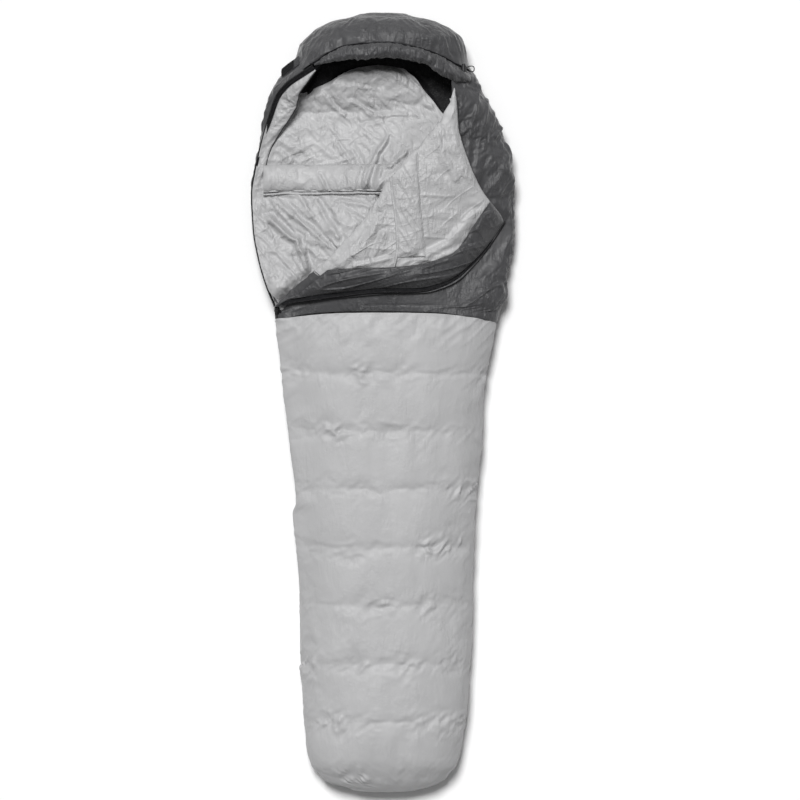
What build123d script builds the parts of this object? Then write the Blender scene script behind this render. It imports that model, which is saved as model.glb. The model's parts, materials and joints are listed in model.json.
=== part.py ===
"""Mummy sleeping bag, lying on its back, partly unzipped, with the top of its front folded open.

The bag is a long tapered tube of down chambers. X points to the side away from the zip, +Y to the
head and +Z up; the origin is under the middle of the bag, on the ground. Sizes are millimetres.
"""

import math
import os

from build123d import *

os.makedirs("parts", exist_ok=True)

# ---------------------------------------------------------------- driving dimensions
HALF_LENGTH = 1075  # the bag is 2150 long
# cross sections from foot to hood: y, middle of the width, half width, height
STATIONS = [
    (-1075, 4, 90, 95),
    (-1050, 3, 165, 125),
    (-1010, 3, 200, 146),
    (-950, 3, 216, 155),
    (-865, 6, 227, 156),
    (-700, 7, 237, 153),
    (-490, 8, 241, 150),
    (-280, 11, 247, 150),
    (-115, 9, 265, 150),
    (50, 5, 280, 150),
    (215, 9, 306, 148),
    (298, 16, 324, 142),
    (423, 4, 356, 140),
    (590, 0, 369, 144),
    (715, -1, 345, 155),
    (797, -11, 319, 172),
    (880, -17, 286, 190),
    (950, -7, 240, 205),
    (1005, 1, 215, 200),
    (1047, 0, 148, 165),
    (1075, 0, 70, 110),
]
SEAM_Z = 50  # height of the side seam, where back and front meet
CORNER = 22  # bevel along the bottom edge
SKIN = 1.2  # a fabric layer
GAP = 0.2  # air between layers of one body
WALL = 35  # shell, down and lining together, front and sides

COLOUR_SEAM_Y = 243  # dark shoulders above it, light body below
CHAMBER = 161  # length of one down chamber
FOOT_SEAM_Y = -1030
BAFFLE = 0.8

ZIP_Z = 75  # height of the zip along the left side
TAPE = 14  # width of one zip tape
COIL = 3.4  # width of one open zip coil
HOOD_Y = 912  # lower end of the hood's front edge
HOOD_LEAN = 0.336  # how far that edge leans back for each millimetre of height
HOOD_Z = 128  # height of the hood edge's lower ends
BRIM = 48  # width of the padded brim

CREASE_LOW = Vector(-300, 262, 140)  # the fold of the front flap, from the zip's open end
CREASE_HIGH = Vector(191, 847, 172)  # to the side of the face opening
FLAP_SLOPE = 4.5  # degrees that the folded flap falls to the right
FLAP_THICK = 30
# the folded flap's outline: distance along the crease, distance from it
FLAP_ZIP_EDGE = [(26, 12), (98, 66), (224, 186), (323, 288), (404, 326), (548, 330)]
FLAP_FACE_EDGE = [(577, 300), (588, 262), (612, 225), (655, 144), (705, 71), (748, 12)]
FACING = 55  # width of the dark facing inside the zip edge
COLLAR_HEIGHT = 12

REACH = 1200  # larger than the bag, for cutting tools


# ---------------------------------------------------------------- shapes shared by the layers
def section_plane(middle, y):
    """An upright plane across the bag, its y axis pointing up."""
    return Plane(origin=(middle, y, 0), x_dir=(1, 0, 0), z_dir=(0, -1, 0))


def outside(inset):
    """The whole bag's volume, drawn in by `inset` all round."""
    shorten = 1 - inset / HALF_LENGTH
    with BuildPart() as volume:
        for y, middle, half, top in STATIONS:
            side = half - inset
            with BuildSketch(section_plane(middle, y * shorten)):
                with BuildLine():
                    Polyline(
                        (-side, SEAM_Z),
                        (-side, CORNER),
                        (-side + CORNER, inset),
                        (side - CORNER, inset),
                        (side, CORNER),
                        (side, SEAM_Z),
                    )
                    EllipticalCenterArc((0, SEAM_Z), side, top - inset - SEAM_Z, 0, arc_size=180)
                make_face()
        loft(ruled=True)
    return volume.part


def hollow(grow):
    """The sleeper's space under the front, grown by `grow` towards the walls."""
    inset = WALL - grow
    shorten = 1 - inset / HALF_LENGTH
    below = SEAM_Z - 5
    with BuildPart() as volume:
        for y, middle, half, top in STATIONS:
            side = half - inset
            rise = max(top - inset - SEAM_Z, 4)
            with BuildSketch(section_plane(middle, y * shorten)):
                with BuildLine():
                    Polyline((-side, SEAM_Z), (-side, below), (side, below), (side, SEAM_Z))
                    EllipticalCenterArc((0, SEAM_Z), side, rise, 0, arc_size=180)
                make_face()
        loft(ruled=True)
    return volume.part


def zone(*profile):
    """Everything whose side view lies in the closed outline of (y, z) points."""
    with BuildPart() as volume:
        with BuildSketch(Plane.YZ):
            with BuildLine():
                Polyline(*profile, close=True)
            make_face()
        extrude(amount=REACH / 2, both=True)
    return volume.part


def slab(low, high):
    """Everything between two heights."""
    return zone((-REACH, low), (REACH, low), (REACH, high), (-REACH, high))


def span(low, high):
    """Everything between two places along the bag."""
    return zone((low, -REACH), (high, -REACH), (high, REACH), (low, REACH))


def bag_at(y):
    """Middle, half width and height of the bag at y."""
    for (y0, *low), (y1, *high) in zip(STATIONS, STATIONS[1:]):
        if y0 <= y <= y1:
            share = (y - y0) / (y1 - y0)
            return [a + share * (b - a) for a, b in zip(low, high)]
    return STATIONS[-1][1:]


def on_top(x, y):
    """The point of the outside above (x, y)."""
    middle, half, top = bag_at(y)
    return Vector(x, y, SEAM_Z + (top - SEAM_Z) * math.sqrt(1 - ((x - middle) / half) ** 2))


def finish(builder, name):
    """Label a finished piece and write it."""
    builder.part.label = name
    export_step(builder.part, f"parts/{name}.step")


# the crease's frame: x along the crease, y towards the opening, z out of the flap
crease = (CREASE_HIGH - CREASE_LOW).normalized()
level = Vector(crease.Y, -crease.X, 0).normalized()
fall = level.rotate(Axis((0, 0, 0), crease), FLAP_SLOPE)
flap_up = fall.cross(crease) * -1
if flap_up.Z < 0:
    flap_up = flap_up * -1
flap_plane = Plane(origin=CREASE_LOW, x_dir=crease, z_dir=flap_up)
crease_wall = Plane(origin=CREASE_LOW, z_dir=level)


def dent(inset):
    """The space over the shoulder that the folded flap presses down, grown by `inset`."""
    with BuildPart() as volume:
        with BuildSketch(flap_plane.offset(-0.6 - inset)):
            Rectangle(2 * REACH, 2 * REACH)
        extrude(amount=REACH)
        add(span(COLOUR_SEAM_Y - inset, 880 + inset), mode=Mode.INTERSECT)
    return volume.part


def pressed(volume, inset):
    """A volume with the flap's dent in it."""
    with BuildPart() as result:
        add(volume)
        add(dent(inset), mode=Mode.SUBTRACT)
    return result.part


def hood_edge_y(z):
    """Where the hood's front edge is at height z."""
    return HOOD_Y + HOOD_LEAN * (z - HOOD_Z)


def wall_top(lift):
    """The open zip's line along the left side and the hood's edge, raised by `lift`."""
    return [
        (150, ZIP_Z + lift),
        (600, ZIP_Z + lift),
        (760, 88 + lift),
        (HOOD_Y, HOOD_Z + lift),
    ]


outer_0 = pressed(outside(0), 0)
outer_1 = pressed(outside(SKIN), SKIN)
outer_2 = pressed(outside(SKIN + GAP), SKIN + GAP)
hollow_0 = pressed(hollow(0), WALL)
hollow_1 = pressed(hollow(SKIN), WALL - SKIN)
hollow_2 = pressed(hollow(SKIN + GAP), WALL - SKIN - GAP)

# the zip's frame along the left side: x towards the foot, z out of the bag
ZIP_TOP = Vector(-293, 262, ZIP_Z)
ZIP_BOTTOM = Vector(-228, -280, ZIP_Z)
ZIP_TILT = 38  # degrees that the zip faces upwards
ZIP_LENGTH = (ZIP_BOTTOM - ZIP_TOP).length
zip_run = (ZIP_BOTTOM - ZIP_TOP).normalized()
zip_out = Vector(zip_run.Y, -zip_run.X, 0).rotate(Axis((0, 0, 0), zip_run), -ZIP_TILT)
if zip_out.Z < 0:
    zip_out = Vector(zip_run.Y, -zip_run.X, 0).rotate(Axis((0, 0, 0), zip_run), ZIP_TILT)
zip_plane = Plane(origin=ZIP_TOP, x_dir=zip_run, z_dir=zip_out)


def zip_box(start, end, low, high, deep, proud):
    """A straight bar in the zip's frame."""
    with BuildPart() as bar:
        with BuildSketch(zip_plane.offset(deep)):
            with BuildLine():
                Polyline((start, low), (end, low), (end, high), (start, high), close=True)
            make_face()
        extrude(amount=proud - deep)
    return bar.part


groove = zip_box(-14, ZIP_LENGTH + 9, -15, 15, -7, 40)

# the opening: above the zip's line and before the hood's edge, left of the crease
with BuildPart() as opening:
    add(zone(*wall_top(0), (hood_edge_y(400), 400), (150, 400)))
    split(bisect_by=crease_wall.offset(1), keep=Keep.BOTTOM)
with BuildPart() as left_side:
    with Locations((-REACH / 2, 0)):
        Box(REACH, 3 * REACH, REACH)
    split(bisect_by=crease_wall.offset(1), keep=Keep.BOTTOM)
    # the strip under the slider, at the crease's low end
    with BuildSketch(Plane.XY):
        with Locations((CREASE_LOW.X - 40, COLOUR_SEAM_Y)):
            Rectangle(2 * 50, 2 * (CREASE_LOW.Y - COLOUR_SEAM_Y))
    extrude(amount=ZIP_Z - 12)

hood_zone = zone(
    (HOOD_Y + GAP, -9), (HOOD_Y + GAP, HOOD_Z), (hood_edge_y(400), 400), (REACH, 400), (REACH, -9)
)
brim_zone = zone(
    (HOOD_Y, HOOD_Z),
    (HOOD_Y + BRIM, HOOD_Z),
    (hood_edge_y(300) + BRIM, 300),
    (hood_edge_y(300), 300),
)
brim_room = zone(
    (HOOD_Y - 9, HOOD_Z - GAP),
    (HOOD_Y + BRIM + GAP, HOOD_Z - GAP),
    (hood_edge_y(300) + BRIM + GAP, 300),
    (hood_edge_y(300) - 9, 300),
)
shoulder_zone = zone(
    (COLOUR_SEAM_Y + GAP, -9),
    (HOOD_Y, -9),
    (HOOD_Y, HOOD_Z),
    (hood_edge_y(400), 400),
    (COLOUR_SEAM_Y + GAP, 400),
)
lower_zone = span(FOOT_SEAM_Y + GAP, COLOUR_SEAM_Y)
front_side = slab(SEAM_Z + GAP, 400)


def front_layer(outer, inner):
    """One layer of the front and sides, with the opening and the zip's groove cut out."""
    with BuildPart() as layer:
        add(outer)
        add(inner, mode=Mode.SUBTRACT)
        add(front_side, mode=Mode.INTERSECT)
        add(opening.part, mode=Mode.SUBTRACT)
        add(groove, mode=Mode.SUBTRACT)
    return layer.part


front_shell = front_layer(outer_0, outer_1)
front_down = front_layer(outer_2, hollow_2)
front_lining = front_layer(hollow_1, hollow_0)


# ---------------------------------------------------------------- front of the bag
def front_piece(name, layer, where, without=None, left=None):
    """The part of a front layer in one zone, and on one side of the crease."""
    with BuildPart() as piece:
        add(layer)
        add(where, mode=Mode.INTERSECT)
        if without is not None:
            add(without, mode=Mode.SUBTRACT)
        if left is not None:
            add(left_side.part, mode=Mode.INTERSECT if left else Mode.SUBTRACT)
    finish(piece, name)


seams = [COLOUR_SEAM_Y - CHAMBER * (i + 1) for i in range(7)]
with BuildPart() as baffle_slots:
    for seam_y in seams:
        add(span(seam_y - BAFFLE / 2 - GAP, seam_y + BAFFLE / 2 + GAP))
with BuildPart() as baffle_walls:
    for seam_y in seams:
        add(span(seam_y - BAFFLE / 2, seam_y + BAFFLE / 2))

front_piece("lower_front_shell", front_shell, lower_zone)
front_piece("lower_front_lining", front_lining, span(-REACH, COLOUR_SEAM_Y))
front_piece("lower_front_down", front_down, span(seams[-1], COLOUR_SEAM_Y), baffle_slots.part)
front_piece("foot_down", front_down, span(-REACH, seams[-1]), baffle_slots.part)
front_piece("lower_front_baffles", front_down, baffle_walls.part)
for name, layer in (("shell", front_shell), ("down", front_down), ("lining", front_lining)):
    front_piece(f"shoulder_{name}", layer, shoulder_zone, brim_room, left=False)
    front_piece(f"zip_side_{name}", layer, shoulder_zone, left=True)
    front_piece(f"hood_{name}", layer, hood_zone, brim_room)

# ---------------------------------------------------------------- back of the bag
with BuildPart() as back_tray:
    add(outside(0))
    add(outside(SKIN), mode=Mode.SUBTRACT)
    add(slab(-9, SEAM_Z), mode=Mode.INTERSECT)
with BuildPart() as back_block:
    add(outside(SKIN + GAP))
    add(slab(-9, SEAM_Z - SKIN - GAP), mode=Mode.INTERSECT)

with BuildPart() as back_upper_shell:
    add(back_tray.part)
    add(span(COLOUR_SEAM_Y + GAP, REACH), mode=Mode.INTERSECT)
finish(back_upper_shell, "back_upper_shell")

with BuildPart() as back_lower_shell:
    add(back_tray.part)
    add(lower_zone, mode=Mode.INTERSECT)
finish(back_lower_shell, "back_lower_shell")

with BuildPart() as foot_shell:
    add(outside(0))
    add(outside(SKIN), mode=Mode.SUBTRACT)
    add(span(-REACH, FOOT_SEAM_Y), mode=Mode.INTERSECT)
finish(foot_shell, "foot_shell")

back_seams = [HALF_LENGTH - 25 - CHAMBER * (i + 1) for i in range(12)]
with BuildPart() as back_down:
    add(back_block.part)
    for seam_y in back_seams:
        add(span(seam_y - BAFFLE / 2 - GAP, seam_y + BAFFLE / 2 + GAP), mode=Mode.SUBTRACT)
finish(back_down, "back_down")

with BuildPart() as back_walls:
    for seam_y in back_seams:
        add(span(seam_y - BAFFLE / 2, seam_y + BAFFLE / 2))
with BuildPart() as back_baffles:
    add(back_block.part)
    add(back_walls.part, mode=Mode.INTERSECT)
finish(back_baffles, "back_baffles")

with BuildPart() as back_lining:
    add(outside(SKIN + GAP))
    add(slab(SEAM_Z - SKIN, SEAM_Z), mode=Mode.INTERSECT)
finish(back_lining, "back_lining")

# ---------------------------------------------------------------- hood edge
with BuildPart() as hood_brim:
    add(outside(-4))
    add(hollow(-2), mode=Mode.SUBTRACT)
    add(brim_zone, mode=Mode.INTERSECT)
finish(hood_brim, "hood_brim")

with BuildPart() as hood_piping:
    add(outside(-2.6))
    add(outside(-GAP), mode=Mode.SUBTRACT)
    add(
        zone(
            (hood_edge_y(HOOD_Z + 2) + BRIM + 2 * GAP, HOOD_Z + 2),
            (hood_edge_y(HOOD_Z + 2) + BRIM + 3, HOOD_Z + 2),
            (hood_edge_y(300) + BRIM + 3, 300),
            (hood_edge_y(300) + BRIM + 2 * GAP, 300),
        ),
        mode=Mode.INTERSECT,
    )
finish(hood_piping, "hood_piping")

# ---------------------------------------------------------------- draft collar and draft tube
with BuildPart() as draft_collar:
    with BuildSketch(Plane.YZ.offset(-262)):
        with BuildLine():
            Polyline((581, SEAM_Z + GAP), (659, SEAM_Z + GAP))
            ThreePointArc((581, SEAM_Z + GAP), (620, SEAM_Z + 19), (659, SEAM_Z + GAP))
        make_face()
    extrude(amount=2 * 262)
finish(draft_collar, "draft_collar")

with BuildPart() as draft_tube:
    add(hollow(-GAP))
    add(hollow(-20), mode=Mode.SUBTRACT)
    add(zone((300, SEAM_Z + GAP), (890, SEAM_Z + GAP), (890, 68), (300, 68)), mode=Mode.INTERSECT)
    with BuildSketch(Plane.XY):
        with Locations((-REACH / 2, 600)):
            Rectangle(REACH, REACH)
    extrude(amount=200, mode=Mode.INTERSECT)
finish(draft_tube, "draft_tube")

# ---------------------------------------------------------------- zip: open half on the left side
def wall_strip(low, high, outer, inner):
    """A strip that stands up from the left side's edge, between two heights above it."""
    upper = wall_top(high)
    lower = wall_top(low)
    with BuildPart() as strip:
        add(outer)
        add(inner, mode=Mode.SUBTRACT)
        add(zone(*lower[:3], lower[3], upper[3], *reversed(upper[:3])), mode=Mode.INTERSECT)
        add(left_side.part, mode=Mode.INTERSECT)
        add(span(280, HOOD_Y - 4), mode=Mode.INTERSECT)
    return strip


finish(wall_strip(GAP, TAPE, outside(0), outside(SKIN)), "open_zip_tape")
finish(wall_strip(TAPE + GAP, TAPE + COIL, outside(-0.6), outside(SKIN + 0.6)), "open_zip_coil")

# ---------------------------------------------------------------- zip: closed part
COIL_IN = 0.8
COIL_OUT = 3.2
COIL_HALF = 1.3
TAPE_HALF = 0.4

with BuildPart() as closed_zip_tapes:
    for side in (-1, 1):
        edges = sorted((side * (COIL_OUT + 0.1), side * 14.5))
        add(zip_box(4, ZIP_LENGTH + 6, *edges, -TAPE_HALF, TAPE_HALF))
finish(closed_zip_tapes, "closed_zip_tapes")

with BuildPart() as closed_zip_coils:
    for side in (-1, 1):
        edges = sorted((side * COIL_IN, side * COIL_OUT))
        add(zip_box(4, ZIP_LENGTH, *edges, -COIL_HALF, COIL_HALF))
finish(closed_zip_coils, "closed_zip_coils")

with BuildPart() as zip_stop:
    add(zip_box(ZIP_LENGTH + 0.2, ZIP_LENGTH + 6, -3.1, 3.1, -1.8, 1.8))
finish(zip_stop, "zip_stop")

# ---------------------------------------------------------------- slider and pull
SLIDER_AT = 10  # the slider's middle, from the zip's open end
SLIDER_LONG = 18
SLIDER_HALF_WIDTH = 6.5
SLIDER_HALF_DEPTH = 3.6
CHANNEL_HALF_WIDTH = 3.7
CHANNEL_HALF_DEPTH = 1.8
SLOT_HALF = 0.9
BRIDGE_HALF = 1.7
PIVOT_OUT = 5.4
slider_start = SLIDER_AT - SLIDER_LONG / 2
slider_end = SLIDER_AT + SLIDER_LONG / 2

with BuildPart() as zip_slider:
    add(
        zip_box(
            slider_start,
            slider_end,
            -SLIDER_HALF_WIDTH,
            SLIDER_HALF_WIDTH,
            -SLIDER_HALF_DEPTH,
            SLIDER_HALF_DEPTH,
        )
    )
    fillet(zip_slider.edges().filter_by(Axis(ZIP_TOP, zip_out)), 2.5)
    add(
        zip_box(
            slider_start - 1,
            slider_end + 1,
            -CHANNEL_HALF_WIDTH,
            CHANNEL_HALF_WIDTH,
            -CHANNEL_HALF_DEPTH,
            CHANNEL_HALF_DEPTH,
        ),
        mode=Mode.SUBTRACT,
    )
    add(zip_box(slider_start - 1, slider_end + 1, -9, 9, -SLOT_HALF, SLOT_HALF), mode=Mode.SUBTRACT)
    # the divider between the two coils
    add(zip_box(slider_start + 0.5, slider_start + 5, -0.45, 0.45, -2.4, 2.4))
    # the bridge that holds the pull
    add(zip_box(SLIDER_AT - 7, SLIDER_AT + 7, -BRIDGE_HALF, BRIDGE_HALF, 3.4, 8.6))
    add(zip_box(SLIDER_AT - 5, SLIDER_AT + 5, -5, 5, SLIDER_HALF_DEPTH, 7.2), mode=Mode.SUBTRACT)
finish(zip_slider, "zip_slider")

pivot_plane = Plane(
    origin=zip_plane.from_local_coords(Vector(SLIDER_AT, -4.2, PIVOT_OUT)),
    x_dir=zip_plane.x_dir,
    z_dir=zip_plane.y_dir,
)
with BuildPart() as zip_pull:
    with BuildSketch(pivot_plane):
        Circle(1.2)
    extrude(amount=8.4)
    for side in (-1, 1):
        edges = sorted((side * 2.1, side * 4.2))
        add(zip_box(SLIDER_AT, SLIDER_AT + 11, *edges, PIVOT_OUT - 0.8, PIVOT_OUT + 0.8))
    add(zip_box(SLIDER_AT + 10, SLIDER_AT + 38, -4.2, 4.2, PIVOT_OUT - 0.9, PIVOT_OUT + 0.9))
finish(zip_pull, "zip_pull")


# ---------------------------------------------------------------- front flap, folded open
def flap_prism(outline, low, high):
    """A prism in the flap's frame; the outline gives (along the crease, away from it)."""
    with BuildPart() as prism:
        with BuildSketch(flap_plane.offset(low)):
            with BuildLine():
                Polyline(*[(along, -away) for along, away in outline], close=True)
            make_face()
        extrude(amount=high - low)
    return prism.part


def drawn_in(distance):
    """The flap's outline, moved in by `distance`."""
    with BuildSketch() as sketch:
        with BuildLine():
            Polyline(*FLAP_ZIP_EDGE, *FLAP_FACE_EDGE, close=True)
        make_face()
        if distance:
            offset(amount=-distance, kind=Kind.INTERSECTION)
    return sketch.sketch


def flap_layer(distance, low, high):
    """A layer of the flap, `distance` inside its outline, bevelled beside the crease."""
    with BuildPart() as layer:
        with BuildSketch(flap_plane.offset(low)):
            add(mirror(drawn_in(distance), about=Plane.XZ))
        extrude(amount=high - low)
        with BuildSketch(Plane(flap_plane.origin, x_dir=-flap_plane.y_dir, z_dir=crease)):
            with BuildLine():
                Polyline(
                    (-9, -9),
                    (1.5, -9),
                    (1.5 + distance, 0.3),
                    (17 + distance, 36),
                    (-9, 36),
                    close=True,
                )
            make_face()
        extrude(amount=REACH, mode=Mode.SUBTRACT)
    return layer.part


FLAP_LOW = 0.3
FLAP_HIGH = FLAP_LOW + FLAP_THICK
PATCH = [(505, 255), (545, 255), (545, 295), (505, 295)]
PATCH_ROOM = [(504.8, 254.8), (545.2, 254.8), (545.2, 295.2), (504.8, 295.2)]

with BuildPart() as flap_shell:
    add(flap_layer(0, FLAP_LOW, FLAP_HIGH - SKIN - GAP))
    add(flap_layer(SKIN, FLAP_LOW + SKIN, FLAP_HIGH), mode=Mode.SUBTRACT)
    add(flap_prism(PATCH_ROOM, -5, FLAP_LOW + SKIN + 0.1), mode=Mode.SUBTRACT)
finish(flap_shell, "flap_shell")

with BuildPart() as flap_loop_patch:
    add(flap_prism(PATCH, FLAP_LOW, FLAP_LOW + SKIN))
finish(flap_loop_patch, "flap_loop_patch")

with BuildPart() as flap_down:
    add(flap_layer(SKIN + GAP, FLAP_LOW + SKIN + GAP, FLAP_HIGH - SKIN - GAP))
finish(flap_down, "flap_down")

facing_band = [
    *FLAP_ZIP_EDGE,
    (FLAP_ZIP_EDGE[-1][0], 330 - FACING + 20),
    (420, 330 - FACING),
    (350, 245),
    (250, 152),
    (110, 30),
    (60, 12),
]
with BuildPart() as flap_lining:
    add(flap_layer(0, FLAP_HIGH - SKIN, FLAP_HIGH))
    add(flap_prism(facing_band, 0, 60), mode=Mode.SUBTRACT)
finish(flap_lining, "flap_lining")

with BuildPart() as flap_facing:
    add(flap_layer(0, FLAP_HIGH - SKIN, FLAP_HIGH))
    add(flap_prism(facing_band, 0, 60), mode=Mode.INTERSECT)
    add(flap_lining.part, mode=Mode.SUBTRACT)
finish(flap_facing, "flap_facing")

collar_band = [(458, 22), (560, 22), (372, 210), (300, 172)]
with BuildPart() as flap_collar:
    add(flap_prism(collar_band, FLAP_HIGH + GAP, FLAP_HIGH + COLLAR_HEIGHT))
    chamfer(flap_collar.faces().sort_by(Axis(CREASE_LOW, flap_up))[-1].edges(), 5)
finish(flap_collar, "flap_collar")


def edge_strip(points, near, far):
    """A strip outside the flap's zip edge, from `near` to `far` beyond it."""
    outward = []
    for (x0, y0), (x1, y1) in zip(points, points[1:]):
        run = math.hypot(x1 - x0, y1 - y0)
        outward.append((-(y1 - y0) / run, (x1 - x0) / run))
    corners = [outward[0]]
    for (ax, ay), (bx, by) in zip(outward, outward[1:]):
        scale = 1 + ax * bx + ay * by
        corners.append(((ax + bx) / scale, (ay + by) / scale))
    corners.append(outward[-1])
    inner = [(x + near * nx, y + near * ny) for (x, y), (nx, ny) in zip(points, corners)]
    outer = [(x + far * nx, y + far * ny) for (x, y), (nx, ny) in zip(points, corners)]
    return inner + outer[::-1]


with BuildPart() as flap_zip_tape:
    add(flap_prism(edge_strip(FLAP_ZIP_EDGE, GAP, TAPE), 14, 14 + SKIN))
finish(flap_zip_tape, "flap_zip_tape")

with BuildPart() as flap_zip_coil:
    add(flap_prism(edge_strip(FLAP_ZIP_EDGE, TAPE + GAP, TAPE + COIL), 13.4, 15.8))
finish(flap_zip_coil, "flap_zip_coil")

# ---------------------------------------------------------------- hook-and-loop tab
TAB_LONG = 70
TAB_WIDE = 36
TAB_LIFT = 9  # over the curved hood
tab_root = on_top(-227, 944)
tab_run = (on_top(-260, 919) - tab_root).normalized()
tab_across = on_top(-238, 958) - on_top(-216, 930)
tab_up = tab_across.cross(tab_run).normalized()
if tab_up.Z < 0:
    tab_up = tab_up * -1
tab_plane = Plane(origin=tab_root + tab_up * TAB_LIFT, x_dir=tab_run, z_dir=tab_up)

with BuildPart() as tab_webbing:
    with BuildSketch(tab_plane):
        with Locations((TAB_LONG / 2 + 2, 0)):
            RectangleRounded(TAB_LONG - 4, TAB_WIDE, 3)
    extrude(amount=1.6)
finish(tab_webbing, "tab_webbing")

with BuildPart() as tab_hook_patch:
    with BuildSketch(tab_plane.offset(1.6)):
        with Locations((TAB_LONG - 19, 0)):
            RectangleRounded(34, TAB_WIDE - 2, 2)
    extrude(amount=1.6)
finish(tab_hook_patch, "tab_hook_patch")

# ---------------------------------------------------------------- cord lock and drawcord loop
CORD = 2.8
LOCK_RADIUS = 7.5
LOCK_LONG = 17
lock_foot = on_top(212, 924)
slope_point = on_top(216, 924)
cord_run = (slope_point - lock_foot).normalized()
cord_up = Vector(0, -1, 0).cross(cord_run) * -1
if cord_up.Z < 0:
    cord_up = cord_up * -1
lock_centre = lock_foot + cord_up * (LOCK_RADIUS + 7.5)
lock_plane = Plane(origin=lock_centre - Vector(0, LOCK_LONG / 2, 0), x_dir=cord_run, z_dir=(0, 1, 0))

with BuildPart() as cord_lock_barrel:
    with BuildSketch(lock_plane):
        Circle(LOCK_RADIUS)
    extrude(amount=LOCK_LONG)
    fillet(cord_lock_barrel.edges(), 1.2)
    with BuildSketch(lock_plane.offset(2)):
        Circle(5.3)
    extrude(amount=LOCK_LONG, mode=Mode.SUBTRACT)
finish(cord_lock_barrel, "cord_lock_barrel")

with BuildPart() as cord_lock_button:
    with BuildSketch(lock_plane.offset(9)):
        Circle(4.9)
    extrude(amount=LOCK_LONG - 9 + 4.6)
    with BuildSketch(lock_plane.offset(8.9)):
        Circle(3.5)
    extrude(amount=3, mode=Mode.SUBTRACT)
    fillet(cord_lock_button.faces().sort_by(Axis.Y)[-1].edges(), 1)
finish(cord_lock_button, "cord_lock_button")

with BuildPart() as cord_lock_spring:
    with BuildLine() as spring_line:
        Helix(
            pitch=1.6,
            height=5.6,
            radius=2.7,
            center=lock_plane.offset(2.6).origin,
            direction=lock_plane.z_dir,
        )
    with BuildSketch(Plane(spring_line.line @ 0, z_dir=spring_line.line % 0)):
        Circle(0.35)
    sweep(path=spring_line.line, is_frenet=True)
finish(cord_lock_spring, "cord_lock_spring")

# the loop leaves the lock side by side, runs down the hood and turns round
loop_plane = Plane(origin=lock_centre, x_dir=cord_run, z_dir=cord_up)
LOOP_SIDE = [(LOCK_RADIUS - 0.2, 3.2), (18, 4.5), (30, 8.6), (43, 6.5)]
LOOP = LOOP_SIDE + [(along, -aside) for along, aside in reversed(LOOP_SIDE)]
LOOP_RADII = [26, 20, 6.2, 6.2, 20, 26]
print("drawcord loop radii", LOOP_RADII)
with BuildPart() as drawcord_loop:
    with BuildLine(loop_plane) as loop_line:
        FilletPolyline(*LOOP, radius=LOOP_RADII)
    with BuildSketch(Plane(loop_line.line @ 0, z_dir=loop_line.line % 0)):
        Circle(CORD / 2)
    sweep(path=loop_line.line)
finish(drawcord_loop, "drawcord_loop")
print("drawcord loop length", round(sum(edge.length for edge in loop_line.edges()), 1))
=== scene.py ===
import json
import math

import bpy
import numpy as np
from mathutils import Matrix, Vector


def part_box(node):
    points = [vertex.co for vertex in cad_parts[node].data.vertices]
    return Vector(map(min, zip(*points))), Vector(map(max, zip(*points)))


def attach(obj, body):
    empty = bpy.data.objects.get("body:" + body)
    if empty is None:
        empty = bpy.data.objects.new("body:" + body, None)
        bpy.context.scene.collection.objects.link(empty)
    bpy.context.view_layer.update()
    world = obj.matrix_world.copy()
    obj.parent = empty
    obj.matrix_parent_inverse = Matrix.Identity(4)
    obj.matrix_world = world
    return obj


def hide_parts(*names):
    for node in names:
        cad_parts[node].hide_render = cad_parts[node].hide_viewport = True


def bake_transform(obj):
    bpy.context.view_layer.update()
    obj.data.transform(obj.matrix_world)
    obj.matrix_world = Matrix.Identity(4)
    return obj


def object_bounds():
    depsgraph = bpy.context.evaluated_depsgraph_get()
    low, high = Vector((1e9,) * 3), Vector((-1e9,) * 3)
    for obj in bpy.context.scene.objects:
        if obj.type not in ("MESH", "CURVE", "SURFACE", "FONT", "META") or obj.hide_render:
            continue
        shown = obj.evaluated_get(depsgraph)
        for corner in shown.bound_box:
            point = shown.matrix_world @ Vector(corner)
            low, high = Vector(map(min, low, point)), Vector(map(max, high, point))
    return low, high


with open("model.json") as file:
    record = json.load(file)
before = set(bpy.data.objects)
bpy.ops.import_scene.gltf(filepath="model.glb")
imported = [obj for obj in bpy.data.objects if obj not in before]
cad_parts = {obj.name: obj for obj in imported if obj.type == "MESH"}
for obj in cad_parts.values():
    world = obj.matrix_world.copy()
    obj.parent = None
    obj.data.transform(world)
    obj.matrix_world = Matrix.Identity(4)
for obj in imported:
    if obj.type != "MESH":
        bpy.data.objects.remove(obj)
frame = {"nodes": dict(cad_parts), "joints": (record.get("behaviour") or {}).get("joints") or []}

CAD_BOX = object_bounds()
MM = 0.001
CLOTH_FRAMES = 14
SEAM_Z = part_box("back_lower_shell")[1].z
FOOT_Y = CAD_BOX[0].y
HEAD_Y = CAD_BOX[1].y
COLOUR_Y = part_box("lower_front_down")[1].y
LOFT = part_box("lower_front_shell")[1].z
HOOD_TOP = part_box("hood_shell")[1].z
CHAMBER = 0.161
SIDE_SHAPE = 0.78  # below 1 makes the bag's sides fuller than an ellipse
TOP_SHAPE = 0.9


# ---------------------------------------------------------------- numbers and curves
def smooth(t):
    """0 to 1 with soft ends."""
    t = np.clip(t, 0, 1)
    return t * t * (3 - 2 * t)


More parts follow.
